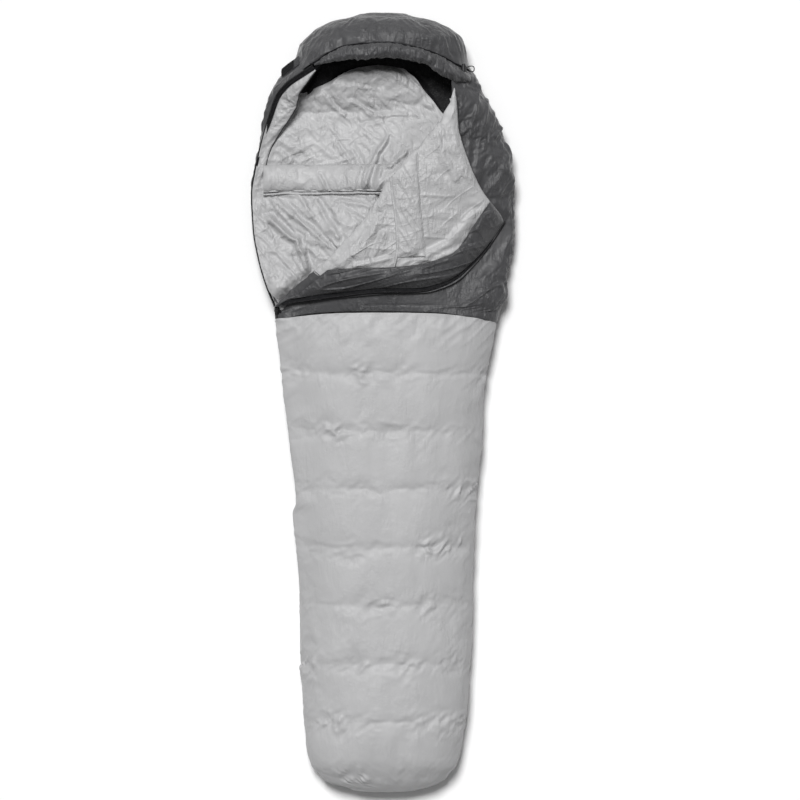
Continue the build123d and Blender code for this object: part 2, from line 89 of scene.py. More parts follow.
def curve(*knots):
    """A smooth curve through (x, y) knots that never overshoots them."""
    xs, ys = np.array(knots, float).T
    step = np.diff(xs)
    slope = np.diff(ys) / step
    tangent = np.concatenate([[slope[0]], np.zeros(len(xs) - 2), [slope[-1]]])
    for i in range(1, len(xs) - 1):
        if slope[i - 1] * slope[i] > 0:
            tangent[i] = 2 * slope[i - 1] * slope[i] / (slope[i - 1] + slope[i])

    def at(x):
        x = np.clip(x, xs[0], xs[-1])
        i = np.clip(np.searchsorted(xs, x) - 1, 0, len(step) - 1)
        t = (x - xs[i]) / step[i]
        return (
            ys[i] * (1 + 2 * t) * (1 - t) ** 2
            + ys[i + 1] * t * t * (3 - 2 * t)
            + step[i] * (tangent[i] * t * (1 - t) ** 2 - tangent[i + 1] * t * t * (1 - t))
        )

    return at


def window(value, low, low_width, high, high_width):
    """1 between low and high, falling to 0 outside them over the two widths."""
    return smooth((value - low) / low_width) * smooth((high - value) / high_width)


def down(count, low=0, high=1):
    """Evenly spaced numbers as a column, one for each row of a grid."""
    return np.linspace(low, high, count)[:, None]


def over(count, low=0, high=1):
    """Evenly spaced numbers as a row, one for each column of a grid."""
    return np.linspace(low, high, count)[None]


def round_turn(count):
    """Angles once round, as a row."""
    return np.linspace(0, 2 * np.pi, count, endpoint=False)[None]


LATTICE = np.random.default_rng(7).random(4096)
HASH_X, HASH_Y, HASH_SEED = 73856093, 19349663, 2654435


def value_noise(x, y=0.0, seed=0):
    """Smooth noise from 0 to 1 on a unit lattice."""
    x, y = np.broadcast_arrays(np.asarray(x, float), y)
    column, row = (np.floor(v).astype(int) for v in (x, y))
    fade_x, fade_y = (p * p * p * (p * (6 * p - 15) + 10) for p in (x - column, y - row))
    total = 0
    for up, right in ((0, 0), (0, 1), (1, 0), (1, 1)):
        key = ((column + right) * HASH_X) ^ ((row + up) * HASH_Y) ^ (seed * HASH_SEED)
        weight = (fade_x if right else 1 - fade_x) * (fade_y if up else 1 - fade_y)
        total = total + weight * LATTICE[key % len(LATTICE)]
    return total


def ridges(x, y, seed):
    """Crease lines: 1 on a line, falling to 0 between lines."""
    warp = value_noise(x * 0.7, y * 0.7, seed=seed + 50) - 0.5
    fold = 1 - np.abs(2 * value_noise(x + 0.6 * warp, y + 0.6 * warp, seed=seed) - 1)
    return np.clip((fold - 0.4) / 0.6, 0, 1) ** 2


# ---------------------------------------------------------------- meshes
def grid_object(name, points, closed=False):
    """A mesh from a grid of points; closed joins the last column to the first."""
    rows, columns = points.shape[:2]
    index = np.arange(rows * columns).reshape(rows, columns)
    if closed:
        index = np.concatenate([index, index[:, :1]], axis=1)
    faces = np.stack([index[:-1, :-1], index[:-1, 1:], index[1:, 1:], index[1:, :-1]], axis=-1)
    mesh = bpy.data.meshes.new(name)
    mesh.from_pydata(points.reshape(-1, 3).tolist(), [], faces.reshape(-1, 4).tolist())
    mesh.validate()
    mesh.polygons.foreach_set("use_smooth", [True] * len(mesh.polygons))
    piece = bpy.data.objects.new(name, mesh)
    bpy.context.scene.collection.objects.link(piece)
    return piece


def grid_normals(points, closed=False):
    """Unit normals of a grid of points."""
    if closed:
        across = np.roll(points, -1, axis=1) - np.roll(points, 1, axis=1)
    else:
        across = np.gradient(points, axis=1)
    along = np.gradient(points, axis=0)
    normal = np.cross(across, along)
    size = np.linalg.norm(normal, axis=2, keepdims=True)
    return normal / np.maximum(size, 1e-9)


def thicken(piece, thickness=1.0 * MM, inward=-1):
    """Give a sheet of fabric two faces and an edge."""
    solid = piece.modifiers.new("fabric", "SOLIDIFY")
    solid.thickness = thickness
    solid.offset = inward
    return piece


def mesh_points(mesh):
    """A mesh's points as an array."""
    flat = np.empty(len(mesh.vertices) * 3)
    mesh.vertices.foreach_get("co", flat)
    return flat.reshape(-1, 3)


def settle(piece, held, grow, pressure, cap):
    """Let fabric cut too large swell and buckle as cloth where it isn't held, no further than cap."""
    mesh = piece.data
    before = mesh_points(mesh)
    group = piece.vertex_groups.new(name="held")
    group.add(np.nonzero(held)[0].tolist(), 1.0, "REPLACE")
    cloth = piece.modifiers.new("cloth", "CLOTH")
    fabric = cloth.settings
    fabric.quality = 3
    fabric.mass = 0.15
    fabric.tension_stiffness = fabric.compression_stiffness = 12
    fabric.shear_stiffness = 4
    fabric.bending_stiffness = 0.05
    fabric.use_pressure = True
    fabric.uniform_pressure_force = pressure
    fabric.shrink_min = -grow
    fabric.vertex_group_mass = "held"
    fabric.effector_weights.gravity = 0
    cloth.collision_settings.use_collision = False
    cloth.point_cache.frame_end = CLOTH_FRAMES
    scene = bpy.context.scene
    for frame_number in range(1, CLOTH_FRAMES + 1):
        scene.frame_set(frame_number)
    seen = piece.evaluated_get(bpy.context.evaluated_depsgraph_get())
    after = mesh_points(seen.data)
    piece.modifiers.remove(cloth)
    piece.vertex_groups.remove(group)
    scene.frame_set(1)
    move = after - before
    far = np.linalg.norm(move, axis=1, keepdims=True)
    move *= cap * np.tanh(far / cap) / np.maximum(far, 1e-9)
    after = before + move
    after[:, 2] = np.maximum(after[:, 2], np.minimum(before[:, 2], 0.3 * MM))
    mesh.vertices.foreach_set("co", after.ravel())
    mesh.update()


def press(piece, rule):
    """Move a mesh's points by a rule that takes and gives an array of points."""
    piece.data.vertices.foreach_set("co", rule(mesh_points(piece.data)).ravel())
    piece.data.update()


def smoother(piece):
    """Round a mesh off by subdivision."""
    rounding = piece.modifiers.new("smooth", "SUBSURF")
    rounding.levels = rounding.render_levels = 1
    return piece


def dress(piece, body, material, nodes=()):
    """Put a finished piece on its body, with its material and the CAD nodes it stands for."""
    piece.data.materials.append(material)
    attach(piece, body)
    if nodes:
        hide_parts(*nodes)
    return piece


def sew(
    name, points, body, material, nodes=(), closed=False, thick=0, inward=-1, rounded=False
):
    """A finished piece from a grid of points."""
    piece = grid_object(name, points, closed)
    if thick:
        thicken(piece, thick, inward)
    if rounded:
        smoother(piece)
    return dress(piece, body, material, nodes)


def tube_points(path, radius, sides=10):
    """Rings of points round a path, as a closed grid."""
    path = np.asarray(path, float)
    forward = np.gradient(path, axis=0)
    forward /= np.linalg.norm(forward, axis=1, keepdims=True)
    up = np.tile([0.0, 0.0, 1.0], (len(path), 1))
    side = np.cross(forward, up)
    side /= np.linalg.norm(side, axis=1, keepdims=True)
    up = np.cross(side, forward)
    angle = np.linspace(0, 2 * np.pi, sides, endpoint=False)
    radius = np.broadcast_to(radius, len(path))[:, None, None]
    ring = np.cos(angle)[None, :, None] * side[:, None] + np.sin(angle)[None, :, None] * up[:, None]
    return path[:, None] + radius * ring


# ---------------------------------------------------------------- the bag's shape
def side_seam():
    """The bag's outline at its side seam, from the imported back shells: (y, left, right) rows."""
    rows = {}
    for node in ("back_lower_shell", "back_upper_shell", "foot_shell"):
        for vertex in frame["nodes"][node].data.vertices:
            if abs(vertex.co.z - SEAM_Z) < 0.1 * MM:
                rows.setdefault(round(vertex.co.y, 4), []).append(vertex.co.x)
    kept = []
    for y in sorted(rows):
        row = (y, min(rows[y]), max(rows[y]))
        if row[1] > 0:
            continue
        if kept and y - kept[-1][0] < 6 * MM:
            if row[2] - row[1] > kept[-1][2] - kept[-1][1]:
                kept[-1] = row
        else:
            kept.append(row)
    return kept


OUTLINE = side_seam()
left_x = curve(*[(y, low) for y, low, high in OUTLINE])
right_x = curve(*[(y, high) for y, low, high in OUTLINE])
height = curve(
    (FOOT_Y, 0.55 * LOFT), (FOOT_Y + 0.03, 0.78 * LOFT), (FOOT_Y + 0.09, 0.95 * LOFT), (FOOT_Y + 0.2, LOFT),
    (0.1, 0.97 * LOFT), (0.4, 0.9 * LOFT), (0.6, 0.93 * LOFT), (0.8, 0.85 * HOOD_TOP), (0.95, HOOD_TOP),
    (1.0, 0.97 * HOOD_TOP), (HEAD_Y - 0.028, 0.8 * HOOD_TOP), (HEAD_Y, 0.55 * HOOD_TOP),
)


def middle(y):
    return (left_x(y) + right_x(y)) / 2


def half(y):
    return (right_x(y) - left_x(y)) / 2


def skin(y, angle, inset=0.0):
    """Points of the bag's outside at an angle: 0 is the right side, 90 the top, 270 the back."""
    c, s = np.cos(angle), np.sin(angle)
    wide = half(y) - inset
    top = s >= 0
    x = np.sign(c) * np.abs(c) ** np.where(top, SIDE_SHAPE, 0.62)
    rise = (height(y) - inset - SEAM_Z) * np.abs(s) ** TOP_SHAPE
    drop = (SEAM_Z - inset) * np.abs(s) ** 0.75
    z = np.where(top, SEAM_Z + rise, SEAM_Z - drop)
    return np.stack([middle(y) + wide * x, y + 0 * c, z], axis=-1)


def angle_at(x, y):
    """The angle of the top half's point with this x."""
    share = (x - middle(y)) / half(y)
    return np.arccos(np.clip(np.sign(share) * np.abs(share) ** (1 / SIDE_SHAPE), -1, 1))


def on_skin(x, y):
    """Height of the bag's outside above (x, y)."""
    return SEAM_Z + (height(y) - SEAM_Z) * np.sin(angle_at(x, y)) ** TOP_SHAPE


def capped(points, y_end, bulge):
    """Close a tube's last row with a soft rounded end."""
    ring = points[-1]
    centre = ring.mean(axis=0)
    shrink = np.cos(np.linspace(0, np.pi / 2, 8)[1:])
    cap = centre + (ring[None] - centre) * np.maximum(shrink, 0.004)[:, None, None]
    out = math.copysign(1, y_end)
    cap[..., 1] = ring[None, :, 1] + out * bulge * (1 - shrink[:, None] ** 2) ** 0.5
    return np.concatenate([points, cap])


def quilting(y, x, seams, puff, seed, pucker=3.0 * MM, reach=0.03):
    """Down chambers between seams: rounded tubes, with short puckers on each side of every seam."""
    away = np.abs(y[..., None] - np.array(seams))
    distance, nearest = away.min(axis=-1), away.argmin(axis=-1)
    side = np.sign(y - np.array(seams)[nearest])
    share = np.clip(distance / (CHAMBER / 2), 0, 1)
    tube = puff * (np.sqrt(1 - (1 - share) ** 2) - 0.75)
    key = nearest * 3.7 + side
    lean = 12 * distance * (value_noise(x / 0.11, key, seed=seed + 9) - 0.5)
    lines = value_noise((x + lean) / 0.017, key, seed=seed) - 0.5
    lines += 0.7 * (value_noise((x + lean) / 0.034, key, seed=seed + 1) - 0.5)
    length = reach * (0.35 + 1.5 * value_noise(x / 0.05, key, seed=seed + 2) ** 2)
    fade = np.exp(-distance / length) * smooth(distance / 0.004)
    crowd = 0.4 + 1.2 * value_noise(x / 0.13, key, seed=seed + 3)
    return tube + 2 * pucker * lines * fade * crowd


def seam_distance(y, seams):
    """How far each y is from its nearest seam."""
    return np.min(np.abs(y[..., None] - np.array(seams)), axis=-1)


def puffed(points, normal, bulge):
    """Points moved out by bulge, least at the back, which lies on the floor."""
    front = smooth((points[..., 2] - 0.03) / 0.05)
    return points + normal * (bulge * (0.25 + 0.75 * front))[..., None]


def on_floor(points):
    """Lift points that are below the floor onto it."""
    points[..., 2] = np.maximum(points[..., 2], 0.0)
    return points


def crumple(x, y, turn, across, along, depth, seed):
    """Soft creases that run in one direction; turn is that direction from +X, in degrees."""
    c, s = math.cos(math.radians(turn)), math.sin(math.radians(turn))
    run = (x * c + y * s) / along
    aside = (y * c - x * s) / across
    return depth * (ridges(aside, run, seed) - 0.25)


def slack(x, y, depth, size, seed):
    """Broad soft unevenness."""
    finer = value_noise(2.1 * x / size, 2.1 * y / size, seed=seed + 1) - 0.5
    return depth * ((value_noise(x / size, y / size, seed=seed) - 0.5) + 0.5 * finer)


# ---------------------------------------------------------------- materials
class Nodes:
    """A short way to write a material's nodes."""

    def __init__(self, name):
        self.material = bpy.data.materials.new(name)
        self.material.use_nodes = True
        self.tree = self.material.node_tree
        self.shader = self.tree.nodes["Principled BSDF"]
        self.place = self.add("ShaderNodeTexCoord").outputs["Object"]

    def add(self, kind, **inputs):
        node = self.tree.nodes.new(kind)
        for key, value in inputs.items():
            node.inputs[key.replace("_", " ")].default_value = value
        return node

    def link(self, source, target):
        self.tree.links.new(source, target)

    def put(self, value, socket):
        """Link an output to a socket, or give the socket a plain value."""
        if isinstance(value, bpy.types.NodeSocket):
            self.link(value, socket)
        else:
            socket.default_value = value

    def noise(self, scale, stretch=(1, 1, 1), detail=4.0, turn=0.0):
        """Noise in object space; stretch makes it longer in a direction."""
        place = self.add("ShaderNodeMapping")
        place.inputs["Scale"].default_value = [scale / s for s in stretch]
        place.inputs["Rotation"].default_value = (0, 0, math.radians(turn))
        self.link(self.place, place.inputs["Vector"])
        noise = self.add("ShaderNodeTexNoise", Scale=1.0, Detail=detail, Roughness=0.55)
        self.link(place.outputs[0], noise.inputs["Vector"])
        return noise.outputs["Fac"]

    def between(self, value, low, high, from_low=0.3, from_high=0.7):
        ranged = self.add("ShaderNodeMapRange")
        names = ("From Min", "From Max", "To Min", "To Max")
        for key, number in zip(names, (from_low, from_high, low, high)):
            ranged.inputs[key].default_value = number
        self.link(value, ranged.inputs["Value"])
        return ranged.outputs["Result"]

    def mix(self, factor, first, second):
        mix = self.add("ShaderNodeMix")
        mix.data_type = "RGBA"
        colours = [i for i in mix.inputs if i.type == "RGBA"]
        self.link(factor, mix.inputs[0])
        for socket, colour in zip(colours, (first, second)):
            self.put(colour if isinstance(colour, bpy.types.NodeSocket) else (*colour, 1), socket)
        return next(o for o in mix.outputs if o.type == "RGBA")

    def math(self, operation, first, second):
        node = self.add("ShaderNodeMath")
        node.operation = operation
        for socket, value in zip(node.inputs, (first, second)):
            self.put(value, socket)
        return node.outputs[0]

    def bump(self, value, distance, strength=1.0, under=None):
        bump = self.add("ShaderNodeBump", Strength=strength, Distance=distance)
        self.link(value, bump.inputs["Height"])
        if under is not None:
            self.link(under, bump.inputs["Normal"])
        return bump.outputs["Normal"]

    def weave(self, pitch):
        """Crossed threads."""
        waves = []
        for axis in ("X", "Y"):
            wave = self.add("ShaderNodeTexWave", Scale=0.5 / pitch, Distortion=0.3)
            wave.bands_direction = axis
            self.link(self.place, wave.inputs["Vector"])
            waves.append(wave.outputs["Fac"])
        return self.math("MULTIPLY", *waves)

    def finish(self, colour=None, normal=None, roughness=None):
        for name, value in (("Base Color", colour), ("Normal", normal), ("Roughness", roughness)):
            if value is not None:
                self.link(value, self.shader.inputs[name])
        return self.material


def nylon(name, colour, rough=0.42, crinkle=0.5, sheen=0.15, turn=35):
    """Thin satin nylon over down: crossing crease lines, a faint weave and uneven shine."""
    m = Nodes(name)
    m.shader.inputs["Sheen Weight"].default_value = sheen
    m.shader.inputs["Sheen Roughness"].default_value = 0.4
    m.shader.inputs["Specular IOR Level"].default_value = 0.4
    patches = m.noise(9, detail=5)
    fine = m.noise(70, detail=6)
    tint = m.mix(m.between(patches, 0, 1), [0.95 * c for c in colour], [1.04 * c for c in colour])
    thread = m.between(m.weave(0.9 * MM), 0, 1, 0, 1)
    tint = m.mix(m.math("MULTIPLY", thread, 0.08), tint, [0.6 * c for c in colour])
    where = m.between(m.noise(14, detail=3), 0.15, 1.0, 0.38, 0.6)
    normal = None
    for scale, stretch, angle, depth in (
        (26, (1, 3.0, 1), turn, 7 * MM),
        (60, (1, 2.4, 1), turn + 70, 3.0 * MM),
        (130, (2.0, 1, 1), turn - 20, 1.2 * MM),
    ):
        noise = m.noise(scale, stretch=stretch, detail=2, turn=angle)
        lines = m.math("ABSOLUTE", m.math("SUBTRACT", noise, 0.5), 0)
        height = m.math("MULTIPLY", m.math("MINIMUM", lines, 0.16), where)
        normal = m.bump(height, depth * 3, crinkle, normal)
    weave = m.bump(m.weave(0.9 * MM), 0.1 * MM, 0.25, normal)
    rough_map = m.between(fine, rough - 0.07, rough + 0.09)
    return m.finish(tint, weave, rough_map)


def webbing(name, colour, pitch=1.6 * MM):
    """Woven tape: raised diagonal threads."""
    m = Nodes(name)
    twill = m.add("ShaderNodeTexWave", Scale=0.35 / pitch, Distortion=0.4)
    twill.bands_direction = "DIAGONAL"
    m.link(m.place, twill.inputs["Vector"])
    tint = m.mix(twill.outputs["Fac"], [0.6 * c for c in colour], [1.3 * c for c in colour])
    worn = m.mix(m.between(m.noise(160), 0, 0.3), tint, [min(1, 2.5 * c + 0.02) for c in colour])
    m.shader.inputs["Specular IOR Level"].default_value = 0.06
    return m.finish(worn, m.bump(twill.outputs["Fac"], 0.4 * MM, 0.6), m.between(m.noise(60), 0.75, 0.95))


def fuzzy(name, colour):
    """Hook or loop tape: a dense field of tiny bristles."""
    m = Nodes(name)
    m.shader.inputs["Specular IOR Level"].default_value = 0.15
    m.shader.inputs["Roughness"].default_value = 0.9
    dots = m.add("ShaderNodeTexVoronoi", Scale=900.0)
    m.link(m.place, dots.inputs["Vector"])
    far = dots.outputs["Distance"]
    tint = m.mix(m.between(far, 1, 0, 0, 0.6), [0.4 * c for c in colour], [2.4 * c for c in colour])
    return m.finish(tint, m.bump(far, 1.0 * MM, 0.8))


def mesh_lining(name):
    """Black open mesh with light caught on a few threads."""
    m = Nodes(name)
    m.shader.inputs["Specular IOR Level"].default_value = 0.25
    holes = m.add("ShaderNodeTexVoronoi", Scale=260.0)
    m.link(m.place, holes.inputs["Vector"])
    specks = m.between(m.noise(420, detail=2), 0, 1, 0.62, 0.72)
    tint = m.mix(specks, (0.006, 0.006, 0.007), (0.09, 0.09, 0.09))
    crease = m.bump(m.noise(45, detail=7), 6 * MM, 0.8)
    normal = m.bump(holes.outputs["Distance"], 0.8 * MM, 0.7, crease)
    return m.finish(tint, normal, m.between(m.noise(80), 0.55, 0.8))


def hard(name, colour, rough, metallic=0.0):
    """Moulded plastic or painted metal, with light wear."""
    m = Nodes(name)
    m.shader.inputs["Metallic"].default_value = metallic
    tint = m.mix(m.between(m.noise(300), 0, 1, 0.55, 0.75), colour, [min(1, 2.2 * c + 0.02) for c in colour])
    normal = m.bump(m.noise(900), 0.1 * MM, 0.3)
    return m.finish(tint, normal, m.between(m.noise(150), rough, rough + 0.2))


LIGHT = nylon("light_nylon", (0.435, 0.435, 0.44), rough=0.52, crinkle=0.25, sheen=0.03)
DARK = nylon("dark_nylon", (0.060, 0.060, 0.063), rough=0.50, crinkle=0.7, sheen=0.25)
LINING = nylon("lining_nylon", (0.455, 0.455, 0.46), rough=0.45, crinkle=0.8, turn=-50)
MESH = mesh_lining("black_mesh")
TAPE = webbing("zip_tape_weave", (0.010, 0.010, 0.011))
COIL = hard("zip_coil_plastic", (0.012, 0.012, 0.013), 0.3)
ENAMEL = hard("slider_enamel", (0.015, 0.015, 0.016), 0.3, metallic=0.4)
STRAP = webbing("tab_webbing_weave", (0.05, 0.05, 0.052), pitch=2.2 * MM)
HOOKS = fuzzy("hook_tape", (0.012, 0.012, 0.013))
LOOPS = fuzzy("loop_tape", (0.016, 0.016, 0.017))
CORD = webbing("cord_braid", (0.009, 0.009, 0.010), pitch=0.8 * MM)
MOULDED = hard("cord_lock_plastic", (0.013, 0.013, 0.014), 0.35)
STEEL = hard("spring_steel", (0.55, 0.55, 0.57), 0.25, metallic=1.0)

# ---------------------------------------------------------------- lines that the panels share
def joint_frame(name):
    """A joint's point and axis."""
    joint = next(j for j in frame["joints"] if j["name"] == name)
    return np.array(joint["pos_m"]), np.array(joint["axis"])


# the flap's own frame at rest: along its crease, away from it, and up out of it
CREASE_LOW, CREASE = joint_frame("flap_fold")
CREASE = -CREASE
CREASE_LENGTH = 0.7845
FLAP_SLOPE = math.radians(4.5)
LEVEL = np.array([CREASE[1], -CREASE[0], 0]) / math.hypot(CREASE[0], CREASE[1])
AWAY = LEVEL * math.cos(FLAP_SLOPE) - np.cross(LEVEL, CREASE) * math.sin(FLAP_SLOPE)
UP = np.cross(AWAY, CREASE)
ZIP_START_Y = CREASE_LOW[1]
HOOD_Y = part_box("hood_shell")[0].y
# the open zip's line seen from above
zip_x = curve(
    (ZIP_START_Y, -0.300), (0.326, -0.326), (0.395, -0.346), (0.478, -0.361), (0.579, -0.366),
    (0.640, -0.357), (0.709, -0.342), (0.806, -0.314), (0.850, -0.298), (0.884, -0.270), (0.914, -0.226),
    (0.936, -0.191),
)
# how far the crease's visible edge lies from its straight line
bow = curve(
    (0.0, 0.0), (0.10, 0.010), (0.20, 0.027), (0.34, 0.031), (0.42, 0.022), (0.467, 0.015), (0.56, 0.013),
    (0.64, 0.019), (0.71, 0.0146), (0.737, 0.011), (0.764, 0.0), (0.7845, -0.010),
)


def zip_angle(y):
    """Where the open zip runs on the left side, as an angle of the bag's section."""
    return np.minimum(angle_at(zip_x(y), y), np.pi - 0.14)


def crease_x(y):
    """The crease's place above y, and on to the hood's edge."""
    run = np.clip((y - ZIP_START_Y) / CREASE[1], 0, CREASE_LENGTH)
    under = 0.012 * smooth((CREASE_LENGTH - run) / 0.12)
    return CREASE_LOW[0] + CREASE[0] * run + (bow(run) + under) / CREASE[1]


def crease_angle(y):
    """Where the front panel ends at the crease, as an angle of the bag's section."""
    found = angle_at(crease_x(y), y)
    return np.where(y > ZIP_START_Y, np.minimum(found, zip_angle(y)), zip_angle(y))


def from_flap(along, away, out):
    """Points from the flap's own frame: along the crease, away from it and out of the flap."""
    along, away, out = np.broadcast_arrays(along, away, out)
    return CREASE_LOW + along[..., None] * CREASE + away[..., None] * AWAY + out[..., None] * UP


def to_flap(points):
    """Along the crease, away from it and out of the flap."""
    offset = points - CREASE_LOW
    return offset @ CREASE, offset @ AWAY, offset @ UP


# ---------------------------------------------------------------- lower body
FRONT_SEAMS = [COLOUR_Y - CHAMBER * (i + 1) for i in range(8)]
ZIP_LOW, ZIP_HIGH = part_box("closed_zip_tapes")
ZIP_HALF = 13 * MM


def colour_seam(x):
    """The line between the light body and the dark shoulders."""
    return COLOUR_Y + 6 * MM - 0.022 * np.abs(x / 0.3) ** 3


def closed_zip_angle(y):
    """The closed zip's middle, as an angle of the bag's section."""
    share = (0.5 * (ZIP_LOW.z + ZIP_HIGH.z) - SEAM_Z) / (height(y) - SEAM_Z)
    return np.pi - np.arcsin(share ** (1 / TOP_SHAPE))


def make_lower_body():
    """The light part: from the zip over the front, round the back and up to the zip again."""
    share, across = down(200), over(190)
    level = COLOUR_Y + (FOOT_Y - COLOUR_Y) * share
    gap = ZIP_HALF / 0.09 * smooth((level - ZIP_LOW.y + 0.02) / 0.03)
    first = closed_zip_angle(level) - 2 * np.pi + gap * 0.7
    last = closed_zip_angle(level) - gap
    angle = first + (last - first) * across
    x = skin(level, angle)[..., 0]
    y = level + (colour_seam(x) - COLOUR_Y) * (1 - share) ** 3
    points = capped(skin(y, angle), FOOT_Y, 7 * MM)
    x, y = points[..., 0], points[..., 1]
    girth = np.arctan2(points[..., 2] - SEAM_Z, x - middle(y)) * 0.19
    seams = [COLOUR_Y, *FRONT_SEAMS]
    bulge = quilting(y, girth, seams, 2.2 * MM, seed=3, pucker=1.5 * MM, reach=0.016)
    bulge += slack(girth, y / 2, 4 * MM, 0.07, seed=11)
    bulge += crumple(x, y, 42, 0.022, 0.08, 5 * MM, seed=21) * smooth((y - 0.12) / 0.1)
    left = smooth((-0.12 - x) / 0.1) * smooth((y + 0.2) / 0.2)
    bulge += crumple(x, y, 58, 0.020, 0.09, 3.0 * MM, seed=22) * left
    knots = value_noise(girth / 0.07, y / 0.08, seed=27) ** 3
    knots = knots * np.exp(-seam_distance(y, FRONT_SEAMS) / 0.02)
    bulge += 14 * knots * crumple(x, y, 50, 0.010, 0.035, 2.2 * MM, seed=26)
    points = puffed(points, grid_normals(points), bulge * np.clip((y - FOOT_Y) / 0.03, 0, 1))
    # the front's edge hangs over the closed zip as a lip
    edge = (1 - across) * 1.15
    lip = 26 * MM * np.exp(-(((edge - 0.020) / 0.030) ** 2)) * smooth((y - ZIP_LOW.y + 0.30) / 0.30)
    points[..., 0] -= lip * 0.95
    piece = grid_object("lower_body_shell", on_floor(points))
    flat_y = points[..., 1].ravel()
    held = (seam_distance(flat_y, seams) < 4 * MM) | (flat_y > COLOUR_Y - 0.012)
    held |= flat_y < FOOT_Y + 0.004
    held |= np.tile(np.minimum(across, 1 - across)[0] < 0.006, len(points))
    settle(piece, held, grow=0.014, pressure=0.4, cap=3 * MM)
    smoother(thicken(piece, 0.8 * MM))
    nodes = ["lower_front_shell", "lower_front_down", "foot_down", "lower_front_baffles"]
    nodes += ["lower_front_lining", "back_lower_shell", "foot_shell", "back_down", "back_baffles"]
    dress(piece, "bag", LIGHT, nodes)


# ---------------------------------------------------------------- shoulders
SHOULDER_SEAMS = [COLOUR_Y + CHAMBER * i for i in range(5)]
TAB_MIDDLE = (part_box("tab_webbing")[0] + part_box("tab_webbing")[1]) / 2
LOCK_MIDDLE = (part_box("cord_lock_barrel")[0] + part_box("cord_lock_barrel")[1]) / 2


def beside_parts(points):
    """1 on free fabric, falling to 0 under the tab and the cord lock, which hold it down."""
    free = 1
    for middle_point, reach in ((TAB_MIDDLE, 0.055), (LOCK_MIDDLE, 0.035)):
        distance = np.hypot(points[..., 0] - middle_point.x, points[..., 1] - middle_point.y)
        free = free * smooth(distance / reach - 0.4)
    return free


TAB_ROOT, TAB_SIDE = joint_frame("tab_swing")
TAB_RUN = np.array(TAB_MIDDLE) - TAB_ROOT
TAB_RUN -= (TAB_RUN @ TAB_SIDE) * TAB_SIDE
TAB_RUN /= np.linalg.norm(TAB_RUN)
TAB_OUT = np.cross(TAB_SIDE, TAB_RUN)
TAB_OUT *= np.sign(TAB_OUT[2])
TAB_POINTS = np.array([v.co for v in frame["nodes"]["tab_webbing"].data.vertices]) - TAB_ROOT
TAB_BASE = (TAB_POINTS @ TAB_OUT).min()
TAB_REACH = (TAB_POINTS @ TAB_RUN).max()
TAB_HALF = np.abs(TAB_POINTS @ TAB_SIDE).max()


def under_tab(points):
    """Press points down where the tab lies on them."""
    offset = points - TAB_ROOT
    along, aside, out = offset @ TAB_RUN, offset @ TAB_SIDE, offset @ TAB_OUT
    inside = window(along, -0.016, 0.012, TAB_REACH + 0.016, 0.012)
    inside *= smooth((TAB_HALF + 0.014 - np.abs(aside)) / 0.010)
    sink = np.maximum(out - TAB_BASE + 1.5 * MM, 0) * inside * (out < 0.05)
    return points - sink[..., None] * TAB_OUT


def under_flap(points, clearance=1.5 * MM):
    """Press points down where the folded flap lies on them."""
    along, away, out = to_flap(points)
    inside = window(away, -0.03, 0.05, 0.42, 0.05) * window(along, -0.02, 0.05, 0.80, 0.05)
    lying = np.maximum(out + clearance + flap_droop(along, away), 0) * inside
    return points - lying[..., None] * UP


def make_shoulders():
    """The dark part round the opening: from the zip, under the back and up to the crease."""
    share, across = down(120), over(220)
    row_y = COLOUR_Y + (HOOD_Y + 8 * MM - COLOUR_Y) * share
    start = zip_angle(row_y)
    angle = start + across * (2 * np.pi + crease_angle(row_y) - start)
    x = skin(row_y, angle)[..., 0]
    y = row_y + (colour_seam(x) - COLOUR_Y) * (1 - share) ** 4
    points = skin(y, angle)[::-1]
    x, y = points[..., 0], points[..., 1]
    girth = angle[::-1] * 0.25
    bulge = quilting(y, girth, SHOULDER_SEAMS, 9 * MM, seed=31, pucker=3 * MM, reach=0.04)
    bulge += slack(girth, y, 9 * MM, 0.09, seed=35)
    bulge += crumple(x, y, 38, 0.026, 0.13, 10 * MM, seed=38) * smooth((0.52 - y) / 0.15)
    bulge += crumple(x, y, 78, 0.024, 0.12, 8 * MM, seed=39) * smooth((y - 0.4) / 0.15)
    bulge += crumple(x, y, 55, 0.010, 0.05, 3 * MM, seed=40)
    bulge *= beside_parts(points) * smooth((y - COLOUR_Y) / 0.012)
    bulge *= smooth(across / 0.03) * (0.4 + 0.6 * smooth((1 - across) / 0.03))
    points = on_floor(under_flap(puffed(points, grid_normals(points), bulge)))
    piece = grid_object("shoulder_panels", points)
    flat = points.reshape(-1, 3)
    held = (seam_distance(flat[:, 1], SHOULDER_SEAMS) < 4 * MM) | (beside_parts(flat) < 0.9)
    held |= np.tile(np.minimum(across, 1 - across)[0] < 0.012, len(points))
    held |= np.any(under_flap(flat, 14 * MM) != flat, axis=1)
    held |= (flat[:, 1] < COLOUR_Y + 0.01) | (flat[:, 1] > HOOD_Y - 0.004)
    settle(piece, held, grow=0.05, pressure=1.5, cap=9 * MM)
    press(piece, under_tab)
    smoother(thicken(piece))
    nodes = ["back_upper_shell", "shoulder_shell", "shoulder_down", "zip_side_shell", "zip_side_down"]
    dress(piece, "bag", DARK, nodes)


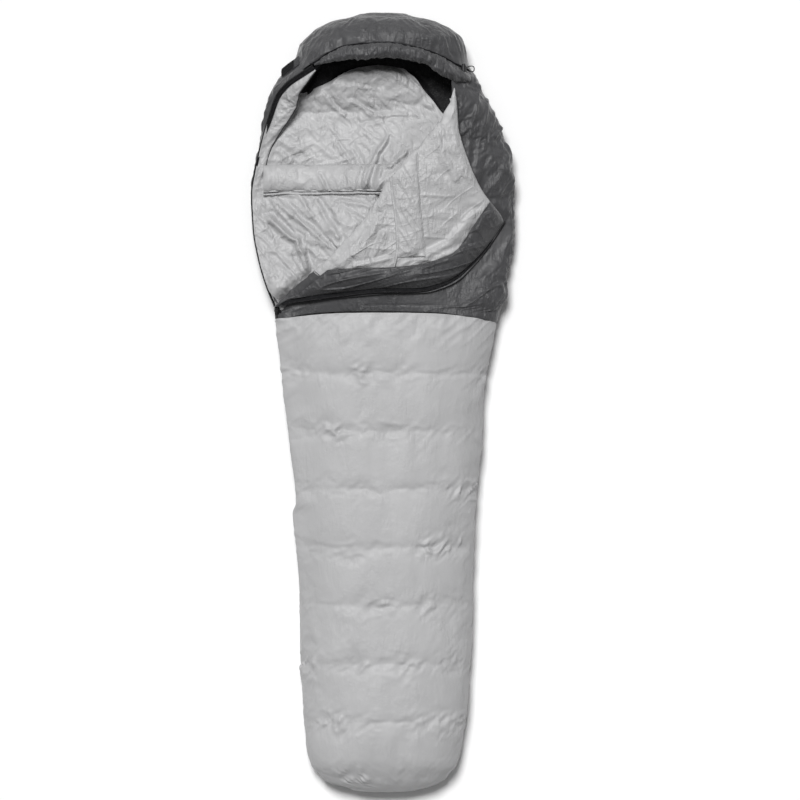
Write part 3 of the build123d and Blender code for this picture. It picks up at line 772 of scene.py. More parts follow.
# ---------------------------------------------------------------- hood
# the brim seen from above: its front edge, and the seam where the crown begins
brim_front = curve(
    (-0.192, 0.930), (-0.142, 0.939), (-0.100, 0.943), (-0.043, 0.949), (0.020, 0.950), (0.080, 0.941),
    (0.117, 0.932), (0.144, 0.915), (0.168, 0.900), (0.200, 0.890), (0.224, 0.886), (0.244, 0.888),
)
brim_seam = curve(
    (-0.192, 0.936), (-0.147, 0.967), (-0.098, 0.985), (0.005, 0.992), (0.089, 0.981), (0.160, 0.957),
    (0.205, 0.934), (0.228, 0.921), (0.246, 0.905),
)


def hood_seam_y(angle):
    """Where the hood's crown meets the brim over the top, and the shoulders elsewhere."""
    x = skin(np.full(np.shape(angle), 0.96), angle)[..., 0]
    on_top = window(x, -0.205, 0.02, 0.240, 0.02) * smooth(np.sin(angle) / 0.2)
    return HOOD_Y + (brim_seam(x) - HOOD_Y) * on_top


def make_hood():
    """The crown: a puffy dome from the brim's seam to the end of the bag."""
    angle = round_turn(230)
    start = hood_seam_y(angle)
    y = start + (HEAD_Y - start) * np.sin(down(60) * np.pi / 2)
    points = capped(skin(y, angle + 0 * y), HEAD_Y, 5 * MM)[:, ::-1]
    y = points[..., 1]
    around = np.broadcast_to(angle[:, ::-1], y.shape)
    girth = around * 0.22
    start = hood_seam_y(around)
    reach = np.clip((y - start) / 0.07, 0, 1)
    bulge = 10 * MM * np.sqrt(reach * (2 - reach)) - 4 * MM
    lines = value_noise(girth / 0.010, seed=41) + 0.8 * value_noise(girth / 0.023, seed=42) - 0.9
    crowd = 0.3 + 1.3 * value_noise(girth / 0.05, seed=49)
    bulge += 5 * MM * lines * crowd * np.exp(-reach * 2.6) * smooth(reach / 0.08)
    bulge += slack(girth, y, 5 * MM, 0.08, seed=43)
    bulge += crumple(girth, y, 74, 0.026, 0.09, 2.5 * MM, seed=44)
    bulge *= np.clip((HEAD_Y - y) / 0.02, 0.3, 1) * beside_parts(points)
    points = on_floor(puffed(points, grid_normals(points, closed=True), bulge))
    piece = grid_object("hood_crown", points, closed=True)
    flat = points.reshape(-1, 3)
    held = (flat[:, 1] < (start + 5 * MM).ravel()) | (flat[:, 1] > HEAD_Y - 0.01)
    held |= beside_parts(flat) < 0.9
    settle(piece, held, grow=0.025, pressure=1.2, cap=6 * MM)
    press(piece, under_tab)
    dress(smoother(piece), "bag", DARK, ["hood_shell", "hood_down"])


def make_brim():
    """The padded edge round the face opening."""
    x = np.linspace(-0.190, 0.243, 200)
    front, back = brim_front(x), brim_seam(x)
    wide = (back - front) / 2
    line_y = (back + front) / 2
    turn = round_turn(40)
    c, s = np.cos(turn), np.sin(turn)
    lean = on_skin(x, back) - on_skin(x, front)
    thick = np.minimum(0.020, 0.9 * wide + 2 * MM)
    girth = x[:, None] * 1.1
    crowd = 0.35 + 1.2 * value_noise(girth / 0.045, c * 0.8, seed=55)
    lines = value_noise(girth / 0.0085, c * 1.2, seed=51)
    lines = lines + 0.8 * value_noise(girth / 0.019, c, seed=52) - 0.9
    pucker = 8 * MM * lines * crowd * (0.45 + 0.55 * np.abs(c))
    soft = slack(girth, c * 0.03, 9 * MM, 0.035, seed=53)
    grow = np.clip(thick / 0.02, 0.1, 1)[:, None] * (pucker + soft)
    centre = np.stack([x, line_y, on_skin(x, line_y) - 0.35 * thick], axis=-1)
    points = np.repeat(centre[:, None], turn.size, axis=1)
    points[..., 1] += (wide[:, None] + 0.6 * grow * np.maximum(-c, 0)) * c
    points[..., 2] += 0.5 * lean[:, None] * c + thick[:, None] * s * 1.1 + grow * np.maximum(s, 0)
    piece = grid_object("hood_brim_padded", points, closed=True)
    held = np.tile(np.abs(c) > 0.97, (len(points), 1))
    held[:3] = held[-3:] = True
    settle(piece, held.ravel(), grow=0.09, pressure=1.6, cap=5 * MM)
    dress(smoother(piece), "bag", DARK, ["hood_brim"])


def make_piping():
    """The thin cord sewn along the brim's back seam."""
    x = np.linspace(-0.200, 0.216, 200)
    y = brim_seam(x) + 2.0 * MM * (value_noise(x / 0.012, seed=61) - 0.5)
    z = on_skin(x, brim_seam(x)) + 1.5 * MM + 2 * MM * value_noise(x / 0.02, seed=62)
    tube = tube_points(np.stack([x, y, z], axis=-1), 2.0 * MM)
    sew("hood_edge_piping", tube, "bag", CORD, ["hood_piping"], closed=True)


def make_hood_inside():
    """Black mesh inside the hood."""
    angle = round_turn(200)
    start = 0.78 + smooth(np.sin(angle) / 0.5) * (hood_seam_y(angle) - 0.025 - 0.78)
    end = HEAD_Y - 0.045
    y = start + (end - start) * np.sin(down(60) * np.pi / 2)
    points = capped(skin(y, angle + 0 * y, inset=0.034), end, 8 * MM)
    x, y = points[..., 0], points[..., 1]
    floor = 0.056 + 0.004 * value_noise(x / 0.05, y / 0.05, seed=71)
    floor = floor + crumple(x, y, 60, 0.03, 0.1, 6 * MM, seed=72)
    floor = np.where(y < lining_top(x) - 0.012, 0.046, floor)
    points[..., 2] = np.maximum(points[..., 2], floor)
    sew("hood_mesh_lining", points, "bag", MESH, ["hood_lining"], closed=True)


# ---------------------------------------------------------------- inside of the back
lining_top = curve(
    (-0.30, 0.80), (-0.225, 0.862), (-0.2025, 0.860), (-0.175, 0.874), (-0.147, 0.893), (-0.130, 0.915),
    (-0.105, 0.929), (-0.017, 0.937), (0.069, 0.927), (0.089, 0.916), (0.116, 0.895), (0.130, 0.868),
    (0.147, 0.840), (0.166, 0.797), (0.24, 0.74), (0.36, 0.70),
)
COLLAR_LOW, COLLAR_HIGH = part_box("draft_collar")
LONG_FOLDS = [
    ([(-0.300, 0.565), (-0.241, 0.510), (-0.199, 0.481), (-0.139, 0.419)], 12, 8),
    ([(-0.185, 0.560), (-0.156, 0.504), (-0.122, 0.459)], 10, 8),
    ([(-0.315, 0.510), (-0.258, 0.459), (-0.238, 0.450), (-0.222, 0.408), (-0.203, 0.352)], 24, 10),
    ([(-0.290, 0.380), (-0.236, 0.331)], 7, 7),
    ([(-0.335, 0.510), (-0.309, 0.465)], 6, 6),
    ([(-0.212, 0.468), (-0.216, 0.418)], 7, 6),
    ([(-0.238, 0.578), (-0.213, 0.552)], 6, 6),
    ([(-0.162, 0.853), (-0.139, 0.823), (-0.108, 0.798)], 7, 6),
    ([(-0.086, 0.836), (-0.032, 0.801)], 7, 6),
    ([(-0.290, 0.700), (-0.255, 0.672)], 6, 6),
    ([(-0.130, 0.717), (-0.094, 0.668)], 6, 5),
    ([(-0.085, 0.697), (-0.064, 0.662)], 5, 5),
    ([(0.008, 0.725), (-0.018, 0.687), (-0.037, 0.644), (-0.050, 0.597)], 14, 8),
    ([(0.060, 0.692), (0.020, 0.655)], 12, 8),
    ([(-0.176, 0.628), (-0.156, 0.588)], 6, 5),
    ([(-0.120, 0.560), (-0.040, 0.545)], 8, 7),
    ([(-0.100, 0.530), (-0.050, 0.500)], 6, 6),
]


def fold_lines(x, y, lines):
    """Long creases, each a ridge with a hollow beside it: points in m, height and width in mm."""
    total = 0
    for points, high, wide in lines:
        high, wide = high * MM, wide * MM
        nearest, signed = np.full(x.shape, 9.0), np.zeros(x.shape)
        for (x0, y0), (x1, y1) in zip(points, points[1:]):
            run_x, run_y = x1 - x0, y1 - y0
            length = math.hypot(run_x, run_y)
            share = np.clip(((x - x0) * run_x + (y - y0) * run_y) / length**2, 0, 1)
            off_x, off_y = x - x0 - share * run_x, y - y0 - share * run_y
            distance = np.hypot(off_x, off_y)
            side = (run_x * off_y - run_y * off_x) / length
            signed = np.where(distance < nearest, np.copysign(distance, side), signed)
            nearest = np.minimum(nearest, distance)
        hollow = np.exp(-(((signed - 1.6 * wide) / wide) ** 2)) * (nearest < 4 * wide)
        total = total + high * (np.exp(-((signed / wide) ** 2)) - 0.6 * hollow)
    return total


def fan_folds(x, y):
    """Folds that spread from the lining's right corner over the upper back."""
    side, up = 0.172 - x, y - 0.785
    reach = np.hypot(side, up)
    angle = np.arctan2(up, np.maximum(side, 1e-4)) + 0.9 * reach
    lines = value_noise(angle * 9, reach * 4, seed=151)
    lines = lines + 0.6 * value_noise(angle * 19, reach * 6, seed=152) - 0.8
    return 15 * MM * lines * window(reach, 0, 0.06, 0.42, 0.15) * smooth((y - 0.76) / 0.05)


def beside_crease(x, y):
    """How the puffed back rises to the front's crease."""
    run = (x - CREASE_LOW[0]) * CREASE[0] + (y - CREASE_LOW[1]) * CREASE[1]
    off = (x - CREASE_LOW[0]) * CREASE[1] - (y - CREASE_LOW[1]) * CREASE[0]
    gap = np.maximum(bow(run) - off, 0)
    reach = 0.13 - 0.05 * smooth((run - 0.35) / 0.2)
    past = smooth((bow(run) + 0.055 - off) / 0.05)
    return 0.074 * np.exp(-((gap / reach) ** 1.4)) * window(run, -0.02, 0.08, 0.80, 0.25) * past


def make_back_lining():
    """The light lining that the sleeper lies on, climbing the zip side's wall."""
    share, across = down(270), over(190, -1)
    low_y = -0.30
    guess = low_y + (0.9 - low_y) * share
    x = middle(guess) + (half(guess) - 0.022) * across
    y = low_y + (lining_top(x) - low_y) * share
    beside = 3 * MM + 11 * MM * smooth((0.31 - y) / 0.03)
    left = np.where(y > ZIP_START_Y - 0.05, zip_x(y) + beside, middle(y) - half(y) + 0.022)
    right = middle(y) + half(y) - 0.058
    x = (left + right) / 2 + (right - left) / 2 * across
    wall = np.clip((np.abs(across) - 0.78) / 0.22, 0, 1)
    rise = np.where(across < 0, on_skin(zip_x(y) + 6 * MM, y) - SEAM_Z - 0.016, 0.012)
    z = 0.058 + np.maximum(rise, 0.01) * wall**2 + beside_crease(x, y)
    z = z + 0.030 * smooth((y - 0.80) / 0.12) * smooth((lining_top(x) - y) / 0.03 + 0.2)
    seams = [0.05, COLOUR_Y, 0.404, 0.565, COLLAR_HIGH.y, 0.806, 1.0]
    bulge = quilting(y, x, seams, 9 * MM, seed=81, pucker=2.6 * MM, reach=0.035)
    bulge += slack(x, y, 9 * MM, 0.11, seed=83)
    lower = smooth((0.60 - y) / 0.05)
    bulge += crumple(x, y, -50, 0.028, 0.13, 9 * MM, seed=85) * lower
    bulge += crumple(x, y, 10, 0.020, 0.05, 4 * MM, seed=86) * lower * smooth((x + 0.2) / 0.12)
    bulge += crumple(x, y, -40, 0.014, 0.045, 4 * MM, seed=88)
    bulge += crumple(x, y, 25, 0.020, 0.06, 3 * MM, seed=84)
    bulge += fold_lines(x, y, LONG_FOLDS) + fan_folds(x, y)
    bunch = np.exp(-(((x + 0.02) / 0.06) ** 2) - ((y - 0.62) / 0.06) ** 2)
    bulge += bunch * crumple(x, y, 68, 0.013, 0.06, 16 * MM, seed=89)
    points = np.stack([x, y, z + bulge * (1 - 0.5 * wall) + 2 * MM], axis=-1)
    points = under_flap(points, clearance=6 * MM)
    points[..., 2] = np.maximum(points[..., 2], 0.051)
    piece = grid_object("back_lining_quilted", points)
    held = seam_distance(points[..., 1], seams) < 4 * MM
    held |= (np.abs(across) > 0.985) | (share < 0.01) | (share > 0.99)
    settle(piece, held.ravel(), grow=0.045, pressure=0.8, cap=8 * MM)
    smoother(thicken(piece))
    dress(piece, "bag", LINING, ["back_lining"])


def make_draft_collar():
    """The padded collar across the back, with a corded welt along its lower edge."""
    low_y, high_y = COLLAR_LOW.y + 2 * MM, COLLAR_HIGH.y
    x, across = over(220, -0.332, COLLAR_HIGH.x - 0.02), down(26)
    sway = 5 * MM * (value_noise(x / 0.09, seed=91) - 0.5)
    y = low_y + (high_y - low_y) * across + sway
    dome = np.sqrt(np.clip(1 - (2 * across - 1) ** 2, 0, 1))
    wall = np.clip((-0.27 - x) / 0.07, 0, 1)
    lifted = beside_crease(x, y)
    z = 0.060 + 0.020 * dome + 0.010 * wall**2 + lifted
    near = np.minimum(across, 1 - across)
    lines = value_noise(x / 0.016, across * 2, seed=92) - 0.5
    z = z + 9 * MM * lines * np.exp(-near / 0.2) * smooth(near / 0.05)
    z = z + crumple(x, y, 80, 0.03, 0.06, 3 * MM, seed=93)
    bunch = np.exp(-(((x + 0.03) / 0.05) ** 2))
    z = z + bunch * crumple(x, y, 72, 0.012, 0.06, 14 * MM, seed=94)
    z = z + fold_lines(x + 0 * y, y + 0 * x, LONG_FOLDS)
    points = np.stack([x + 0 * y, y, z], axis=-1)
    base = points.copy()
    base[..., 2] = 0.052 + lifted * 0.8
    grid = np.concatenate([points, base[::-1][:1], base[:1]])
    sew("draft_collar_back", grid, "bag", LINING, ["draft_collar"])
    xs = x[0]
    for name, off, lift in (("collar_welt_lower", -5 * MM, 0.066), ("collar_welt_upper", 3 * MM, 0.065)):
        row_y = low_y + off
        wave = 2 * MM * (value_noise(xs / 0.03, seed=95) - 0.5)
        raised = lift + 0.010 * wall[0] ** 2 + wave + beside_crease(xs, np.full(xs.shape, row_y))
        raised += bunch[0] * crumple(xs, row_y + 0 * xs, 72, 0.012, 0.06, 8 * MM, seed=94)
        path = np.stack([xs, row_y + sway[0] + wave, raised], axis=-1)
        sew(name, tube_points(path, 2.4 * MM), "bag", LINING, closed=True)


def make_zip_side():
    """The light draft tube beside the open zip, and the zip itself."""
    y = np.linspace(ZIP_START_Y + 0.004, 0.933, 260)
    x = zip_x(y)
    outer = np.stack([x, y, on_skin(x, y) + 0 * y], axis=-1)
    outer[:, 2] = np.maximum(outer[:, 2], SEAM_Z + 0.016)
    wide = curve(
        (ZIP_START_Y, 0.008), (0.50, 0.012), (0.575, 0.020), (0.66, 0.022), (0.70, 0.024), (0.771, 0.037),
        (0.820, 0.050), (0.850, 0.054), (0.875, 0.046), (0.9015, 0.028), (0.933, 0.006),
    )(y)
    forward = np.gradient(outer, axis=0)
    side = np.stack([forward[:, 1], -forward[:, 0], 0 * y], axis=-1)
    side /= np.linalg.norm(side, axis=1, keepdims=True)
    turn = round_turn(24)
    c, s = np.cos(turn)[..., None], np.sin(turn)[..., None]
    tape_width = curve((ZIP_START_Y, 0.004), (0.55, 0.005), (0.70, 0.006), (0.80, 0.012), (0.933, 0.014))(y)
    centre = outer + side * (tape_width + wide / 2)[:, None] - np.array([0, 0, 7 * MM])
    girth = y[:, None] + 0 * turn
    crowd = value_noise(girth / 0.016, turn, seed=101) - 0.5
    swell = 1 + 0.8 * crowd
    swell = swell + 110 * crumple(girth, c[..., 0] * wide[:, None], 35, 0.012, 0.06, 5 * MM, seed=102)
    points = centre[:, None] + c * side[:, None] * (wide / 2)[:, None, None]
    high = (5 * MM + 0.14 * wide)[:, None, None] * np.array([0, 0, 1.0])
    points = points + s * high * swell[..., None]
    nodes = ["draft_tube", "zip_side_lining"]
    tube = points[:, ::-1]
    sew("draft_tube_padded", tube, "bag", LINING, nodes, closed=True, rounded=True)
    seam = (centre + side * (wide / 2)[:, None] + np.array([0, 0, 2.5 * MM]))[y > 0.66]
    sew("draft_tube_seam", tube_points(seam, 1.3 * MM, 8), "bag", COIL, closed=True)
    make_zip_half("open_zip", outer + np.array([0, 0, 2 * MM]), side, "bag", tape_width)


def make_zip_half(name, edge, across, body, width):
    """A zip tape beside a panel's edge, with its coil of turned teeth along the free side."""
    up = np.cross(np.gradient(edge, axis=0), across)
    up /= np.linalg.norm(up, axis=1, keepdims=True)
    up *= np.sign(up[:, 2:3])
    offsets = np.linspace(0, 1, 7)
    ripple = 0.8 * MM * np.sin(offsets * 2 * np.pi)
    width = np.broadcast_to(width, len(edge))
    tape = edge[:, None] + across[:, None] * (offsets[None] * width[:, None])[..., None]
    tape = tape + up[:, None] * ripple[None, :, None]
    sew(f"{name}_tape_woven", tape, body, TAPE, [f"{name}_tape"], thick=1.2 * MM, inward=0)
    length = np.concatenate([[0], np.cumsum(np.linalg.norm(np.diff(edge, axis=0), axis=1))])
    pitch = 2.2 * MM
    samples = np.linspace(0, length[-1], int(length[-1] / pitch) * 8)
    rail = edge + across * (width * 0.15)[:, None]
    axis, lift, sway = (
        np.stack([np.interp(samples, length, line[:, i]) for i in range(3)], axis=-1)
        for line in (rail, up, across)
    )
    phase = (samples / pitch * 2 * np.pi)[:, None]
    path = axis + lift * (1.6 * MM + 1.1 * MM * np.sin(phase)) + sway * (2.0 * MM * np.cos(phase))
    coil = tube_points(path, 0.5 * MM, 5)
    sew(f"{name}_coil_turned", coil, body, COIL, [f"{name}_coil"], closed=True)


# ---------------------------------------------------------------- front flap
flap_edge = curve(
    (0.0, 0.0), (0.045, 0.022), (0.098, 0.066), (0.16, 0.122), (0.224, 0.184), (0.323, 0.292), (0.404, 0.333),
    (0.50, 0.344), (0.585, 0.338), (0.597, 0.318), (0.606, 0.277), (0.617, 0.232), (0.657, 0.148),
    (0.705, 0.073), (0.7505, 0.0274), (0.775, 0.002), (0.7845, -0.010),
)
facing_edge = curve(
    (0.0, 0.0), (0.06, 0.004), (0.142, 0.023), (0.234, 0.105), (0.300, 0.180), (0.376, 0.248), (0.455, 0.284),
    (0.53, 0.276), (0.604, 0.270), (0.764, 0.27),
)


def flap_droop(along, away):
    """How far the flap hangs below its plane, over the shoulder's fall and at the crease's low end."""
    reach = np.clip(away / 0.34, 0, 1)
    far = smooth((along - 0.25) / 0.35)
    low = smooth((0.30 - along) / 0.30)
    return (0.038 * reach**2 + 0.022 * reach**5) * far + 0.045 * low * (1 - 0.3 * reach)


FROM_ABOVE = np.linalg.inv(np.array([CREASE[:2], AWAY[:2]]))


def seen_on_flap(x, y):
    """The flap's own (along, away) of points on its lining, given from above."""
    offset = np.stack([x - CREASE_LOW[0], y - CREASE_LOW[1]], axis=-1) - 0.028 * UP[:2]
    found = offset @ FROM_ABOVE
    return found[..., 0], found[..., 1]


FLAP_FOLDS = [
    ([(0.105, 0.400), (0.180, 0.440), (0.250, 0.520)], 6, 12),
    ([(0.150, 0.400), (0.225, 0.430)], 4, 8),
    ([(0.145, 0.760), (0.160, 0.690), (0.200, 0.620)], 5, 10),
    ([(0.190, 0.800), (0.205, 0.720), (0.235, 0.640), (0.290, 0.570)], 5, 9),
    ([(-0.120, 0.385), (-0.060, 0.430), (-0.010, 0.510)], 6, 10),
    ([(-0.080, 0.378), (0.010, 0.400)], 5, 7),
    ([(-0.030, 0.400), (0.000, 0.470)], 5, 7),
]


def flap_height(along, away, upper):
    """How far the flap's lining side or shell side stands out of its hinge plane."""
    edge = flap_edge(along)
    full = np.sqrt(np.clip((edge - away) / 0.055, 0, 1))
    out = 0.011 + (0.0175 if upper else -0.0095) * full
    if upper:
        point = CREASE_LOW + along[..., None] * CREASE + away[..., None] * AWAY
        folds = fold_lines(point[..., 0], point[..., 1], FLAP_FOLDS)
        out = out + folds * np.clip((edge - away) / 0.04, 0, 1)
        out = out + 7 * MM * smooth((away - 0.03) / 0.08) * full
    return out - flap_droop(along, away)


def crease_start(along):
    """Where the flap's own surface begins, beside the crease's nose."""
    return bow(along) + np.minimum(0.020, 0.6 * (flap_edge(along) - bow(along)))


# how far the shell's roll stands out from under the zip tape
roll = curve(
    (0.0, 0.004), (0.08, 0.018), (0.20, 0.024), (0.35, 0.018), (0.45, 0.010), (0.58, 0.003), (0.764, 0.003),
)


def make_flap():
    """The opened front: lining side up, dark facing along the zip, shell side down."""
    along = np.concatenate([over(230, 0.004, 0.58), over(80, 0.583, 0.782)], axis=1)
    share = down(170)
    for name, upper, low, high, material, slot, nodes in (
        ("flap_lining_quilted", True, 0, 1, LINING, "lining", ["flap_lining", "flap_down"]),
        ("flap_facing_strip", True, 1, 2, DARK, "shell_dark", ["flap_facing"]),
        ("flap_shell_padded", False, 0, 2, DARK, "shell_dark", ["flap_shell"]),
    ):
        edge = flap_edge(along)
        start = crease_start(along)
        split = np.clip(facing_edge(along), start, edge)
        bounds = [start, split, edge]
        away = bounds[low] + (bounds[high] - bounds[low]) * share
        far = along + 0 * away
        out = flap_height(far, away, upper)
        bulge = slack(far, away, 8 * MM, 0.12, seed=111)
        bulge += crumple(far, away, 55, 0.030, 0.14, 3 * MM, seed=113)
        bulge += crumple(far, away, 15, 0.016, 0.06, 2.0 * MM, seed=114)
        near = np.clip((edge - away) / 0.03, 0, 1) * np.clip((away - start) / 0.02, 0, 1)
        if low == 1:
            wide = (edge - split) / 0.06
            bulge = 9 * MM * np.sin(np.pi * np.clip(share * 1.05, 0, 1)) * np.clip(wide, 0, 1)
            bulge += crumple(far, away, 36, 0.015, 0.12, 6 * MM, seed=115)
            bulge += crumple(far, away, 100, 0.013, 0.04, 3 * MM, seed=116)
            near = smooth(share / 0.12) * smooth((1 - share) / 0.1)
        if name == "flap_lining_quilted":
            seam = (split - away) * (split < edge - 1 * MM)
            beside = np.exp(-seam / 0.010) * (split < edge - 1 * MM)
            bulge += beside * (5 * MM * (value_noise(far / 0.012, seed=117) - 0.5) - 4 * MM)
        if not upper:
            beyond = smooth((share - 0.86) / 0.14)
            away = away + roll(along) * beyond
            out = out - 3 * MM * beyond
            bulge += crumple(far, away, 20, 0.018, 0.09, 4 * MM, seed=118)
        sign = 1 if upper else -0.5
        points = from_flap(far, away, out + sign * bulge * near)
        sew(name, points, "front_flap", material, nodes, thick=1.0 * MM, inward=0)


def make_flap_collar():
    """The draft collar's other half, sewn across the flap."""
    rows = 130
    run, across = down(rows), over(36)
    left_line = curve((0.0, 0.022), (0.88, 0.040), (1.0, 0.036))
    right_line = curve((0.0, 0.094), (1.0, 0.116))
    x = left_line(run) * (1 - across) + right_line(run) * across
    y = (0.622 + (0.400 - 0.622) * run) * (1 - across) + (0.690 + (0.404 - 0.690) * run) * across
    along, away = seen_on_flap(x, y)
    ends = np.minimum(run / 0.12 + 0.35, (1 - run) / 0.06)
    dome = np.sqrt(np.clip(1 - (2 * across - 1) ** 2, 0, 1)) * np.sqrt(np.clip(ends, 0, 1))
    lines = crumple(x, y, -58, 0.014, 0.09, 4 * MM, seed=121) + slack(x, y, 6 * MM, 0.05, seed=122)
    lines += crumple(x, y, 12, 0.014, 0.05, 1.5 * MM, seed=124)
    base = flap_height(along, np.minimum(away, flap_edge(along)), True)
    out = base + 1 * MM + 0.013 * dome + lines * dome
    piece = thicken(grid_object("flap_draft_collar", from_flap(along, away, out)))
    dress(smoother(piece), "front_flap", LINING, ["flap_collar"])
    for name, column, radius in (("flap_collar_welt", 0, 4.2 * MM), ("flap_collar_stitch", -1, 1.6 * MM)):
        sway = 2 * MM * (value_noise(np.linspace(0, 11, rows), seed=123) - 0.5)
        reach = 1.1 if name == "flap_collar_welt" else 1.0
        tip = np.linspace(0, reach, rows)
        line_along = np.interp(tip, run[:, 0], along[:, column]) - np.maximum(tip - 1, 0) * 0.22
        line_away = np.interp(tip, run[:, 0], away[:, column]) + np.maximum(tip - 1, 0) * 0.12
        raised = flap_height(line_along, np.minimum(line_away, flap_edge(line_along)), True) + 3 * MM + sway
        path = from_flap(line_along, line_away + sway, raised)
        taper = radius * np.clip((reach - tip) / 0.12 + 0.3, 0, 1)
        sew(name, tube_points(path, taper), "front_flap", LINING, closed=True)


def make_flap_zip():
    """The flap's half of the zip, along its free edge."""
    along = np.linspace(0.02, 0.588, 300)
    away = flap_edge(along)
    wave = 3 * MM * (value_noise(along / 0.05, seed=126) - 0.5)
    out = 0.0125 - flap_droop(along, away) + wave
    edge = from_flap(along, away - 2 * MM, out)
    forward = np.gradient(edge, axis=0)
    outward = np.cross(forward, np.broadcast_to(UP, forward.shape))
    outward /= np.linalg.norm(outward, axis=1, keepdims=True)
    if outward[150] @ AWAY < 0:
        outward = -outward
    width = curve((0.02, 0.010), (0.08, 0.015), (0.30, 0.014), (0.42, 0.010), (0.588, 0.005))(along)
    dip = curve((0.02, 0.0), (0.30, 0.002), (0.588, 0.010))(along)
    tape_edge = edge + outward * width[:, None] - UP * dip[:, None]
    inward = edge - tape_edge
    inward /= np.linalg.norm(inward, axis=1, keepdims=True)
    make_zip_half("flap_zip", tape_edge, inward, "front_flap", width + 2 * MM)


SHORT_SHELLS_END = 0.33  # the crease shell is in short lengths up to here, and in one length beyond
SHELL_WIDTH = 65 * MM
SHELL_GAP = 3.6 * MM


def make_crease():
    """Fabric that rolls over the crease: facing at its low end, then lining."""
    for name, material, slot, low, high in (
        ("crease_facing", DARK, "shell_dark", 0.0, 0.15),
        ("crease_lining", LINING, "lining", 0.145, CREASE_LENGTH),
    ):
        along = down(240, low, high)
        turn = over(26, -0.5, 0.5) * np.pi
        ends = np.sqrt(np.clip(np.minimum(along, CREASE_LENGTH - along) / 0.05, 0, 1))
        crowd = value_noise(along / 0.03, turn * 0.6, seed=131) - 0.5
        crowd += 0.5 * (value_noise(along / 0.011, turn * 0.9, seed=132) - 0.5)
        root = crease_start(along) + 2 * MM
        top = flap_height(along, crease_start(along), True) - 0.5 * MM
        bottom = 0.0045 - flap_droop(along, root)
        centre = (top + bottom) / 2
        away = root - (root - bow(along)) * np.cos(turn) - 5 * MM * crowd * ends * np.cos(turn)
        out = centre + (top - centre) * np.sin(turn) + 2 * MM * crowd * np.cos(turn)
        piece = grid_object(name, from_flap(along + 0 * turn, away, out))
        turn_with_flap(piece, material)
    # the shell inside the fold, which comes out on top when the front is folded shut: one half lies on each
    # side of the crease, and the row of faces between them spans the crease
    bend = np.linspace(0.02, 0.5, 9) * np.pi
    turn = np.concatenate([-bend[::-1], bend])[None]
    stops = np.append(np.linspace(0, SHORT_SHELLS_END, 12), CREASE_LENGTH)
    for number, (low, high) in enumerate(zip(stops[:-1], stops[1:])):
        short = high <= SHORT_SHELLS_END
        along = down(10 if short else 120, max(low - 1.5 * MM, 0), high)
        room = np.clip((flap_edge(along) - bow(along)) / SHELL_WIDTH, 0, 1)
        away = bow(along) + room * (0.052 - 0.044 * np.cos(turn))
        hang = flap_droop(along, bow(along) + 0.02)
        out = SHELL_GAP * np.sign(turn) - hang
        piece = grid_object(f"crease_shell_{number}", from_flap(along + 0 * turn, away, out))
        turn_with_flap(piece, DARK)


def turn_with_flap(piece, material):
    """Finish a piece: give it two faces and an edge, its material, and its place baked into its points."""
    thicken(piece, 1.0 * MM, inward=0)
    piece.data.materials.append(material)
    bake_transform(piece)


def make_front_ceiling():
    """The lining on the underside of the front, seen through the opening."""
    y, across = down(160, -0.10, HOOD_Y - 0.07), over(90)
    stop = np.where(y > ZIP_START_Y, crease_angle(y) - 0.14, np.pi - 0.5)
    angle = 0.45 + across * (stop - 0.45)
    points = skin(y + 0 * angle, angle, inset=0.045)
    points = under_flap(points, clearance=0.034)
    points[..., 2] += slack(points[..., 0], points[..., 1], 8 * MM, 0.1, seed=141)
    nodes = ["shoulder_lining"]
    sew("front_underside_lining", points, "bag", LINING, nodes, thick=1.0 * MM, inward=0)


# ---------------------------------------------------------------- small parts
def tab_points(low, high, half_width, lift):
    """A strip of the tab as it lies on the bag: low and high are shares of its length."""
    along = down(24, low, high) * TAB_REACH
    aside = over(20, -1, 1) * half_width
    corner = 4 * MM * (np.abs(aside) / half_width) ** 8
    along = along - corner * smooth((along / TAB_REACH - high + 0.1) / 0.1)
    out = TAB_BASE + lift + 1.5 * MM * value_noise(along / 0.02, aside / 0.02, seed=161)
    return TAB_ROOT + along[..., None] * TAB_RUN + aside[..., None] * TAB_SIDE + out[..., None] * TAB_OUT


def make_tab():
    """The hook-and-loop tab beside the zip's top: webbing, with a hook patch on its outer end."""
    strap = tab_points(0, 1, TAB_HALF, 0.5 * MM)
    sew("tab_strap_woven", strap, "tab", STRAP, ["tab_webbing"], thick=1.6 * MM, rounded=True)
    hooks = tab_points(0.28, 0.97, TAB_HALF - 1.5 * MM, 2.1 * MM)
    sew("tab_hooks", hooks, "tab", HOOKS, ["tab_hook_patch"], thick=1.4 * MM, rounded=True)


def dress_cad(node, material):
    """Give a CAD node its finished material."""
    piece = frame["nodes"][node]
    piece.data.materials.clear()
    piece.data.materials.append(material)


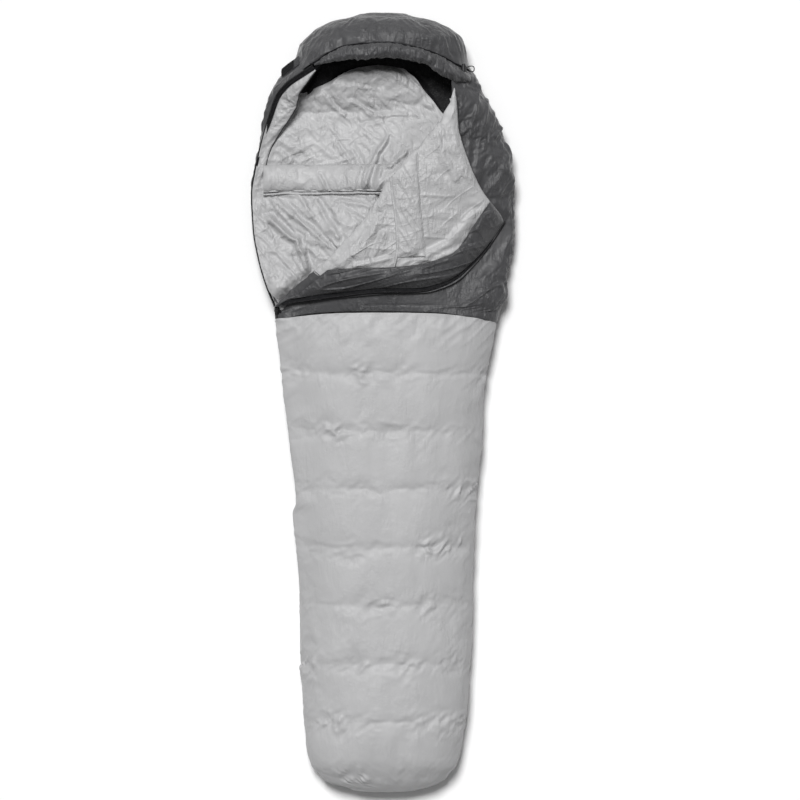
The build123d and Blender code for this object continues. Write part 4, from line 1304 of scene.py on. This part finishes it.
def make_cord_loop():
    """The end of the hood's drawcord: a small loop out of the cord lock."""
    barrel_low, barrel_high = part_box("cord_lock_barrel")
    centre = np.array((barrel_low + barrel_high) / 2)
    loop_low, loop_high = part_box("drawcord_loop")
    far = np.array([loop_high.x, centre[1], loop_low.z])
    run = far - centre
    run[1] = 0
    run /= np.linalg.norm(run)
    # millimetres along the loop from the lock's middle, and to its side
    side_points = [(7.3, 3.2), (18, 4.5), (30, 8.6), (43, 6.5)]
    route = side_points + [(a, -b) for a, b in reversed(side_points)]
    data = bpy.data.curves.new("drawcord_loop_braided", "CURVE")
    data.dimensions = "3D"
    data.bevel_depth = 1.4 * MM
    data.bevel_resolution = 4
    data.resolution_u = 16
    spline = data.splines.new("NURBS")
    spline.points.add(len(route) - 1)
    points = [centre + run * ahead * MM + np.array([0, -aside * MM, 0]) for ahead, aside in route]
    for point, place in zip(spline.points, points):
        point.co = (*place, 1)
    spline.order_u = 3
    spline.use_endpoint_u = True
    piece = bpy.data.objects.new("drawcord_loop_braided", data)
    bpy.context.scene.collection.objects.link(piece)
    dress(piece, "bag", CORD, ["drawcord_loop"])
    return piece, points[0]


# ---------------------------------------------------------------- set
FLOOR_HALF = 12
CAMERA_AT = (0.047, 0.007, 20.0)
VIEW_WIDTH = 2.219  # what the camera sees across, at VIEW_Z above the floor
VIEW_Z = 0.08
SENSOR = 36


def make_set():
    """Floor, soft light and the camera straight above."""
    scene = bpy.context.scene
    scene.view_settings.view_transform = "Standard"
    mesh = bpy.data.meshes.new("floor")
    corners = [(x * FLOOR_HALF, y * FLOOR_HALF, 0) for x, y in ((-1, -1), (1, -1), (1, 1), (-1, 1))]
    mesh.from_pydata(corners, [], [(0, 1, 2, 3)])
    floor = bpy.data.objects.new("floor", mesh)
    floor.location.z = -0.5 * MM
    scene.collection.objects.link(floor)
    paper = Nodes("floor_paper")
    paper.shader.inputs["Roughness"].default_value = 0.9
    paper.shader.inputs["Specular IOR Level"].default_value = 0.1
    tint = paper.mix(paper.noise(2), (0.93, 0.93, 0.93), (0.96, 0.96, 0.96))
    floor.data.materials.append(paper.finish(tint))
    world = bpy.data.worlds.new("studio")
    world.use_nodes = True
    sky = world.node_tree.nodes["Background"].inputs
    sky["Color"].default_value = (1, 1, 1, 1)
    sky["Strength"].default_value = 0.10
    scene.world = world
    for name, toward, strength, spread in (
        ("key_light", (0.12, -0.40, -0.91), 3.05, 20),
        ("top_light", (0.05, -0.05, -1.0), 0.30, 70),
    ):
        lamp = bpy.data.lights.new(name, "SUN")
        lamp.energy = strength
        lamp.angle = math.radians(spread)
        holder = bpy.data.objects.new(name, lamp)
        holder.rotation_euler = Vector(toward).to_track_quat("-Z", "Y").to_euler()
        scene.collection.objects.link(holder)
    camera = bpy.data.cameras.new("camera")
    holder = bpy.data.objects.new("camera", camera)
    holder.location = CAMERA_AT
    camera.sensor_width = SENSOR
    camera.lens = SENSOR * (CAMERA_AT[2] - VIEW_Z) / VIEW_WIDTH
    scene.collection.objects.link(holder)
    scene.camera = holder


make_set()
loop, loop_exit = make_cord_loop()
for make in (
    make_lower_body, make_shoulders, make_hood, make_brim, make_piping, make_hood_inside, make_back_lining,
    make_draft_collar, make_zip_side, make_flap, make_flap_collar, make_flap_zip, make_crease,
    make_front_ceiling, make_tab,
):
    make()
for node, material in (
    ("closed_zip_tapes", TAPE),
    ("closed_zip_coils", COIL),
    ("zip_stop", COIL),
    ("zip_slider", ENAMEL),
    ("zip_pull", ENAMEL),
    ("cord_lock_barrel", MOULDED),
    ("cord_lock_button", MOULDED),
    ("cord_lock_spring", STEEL),
    ("flap_loop_patch", LOOPS),
):
    dress_cad(node, material)
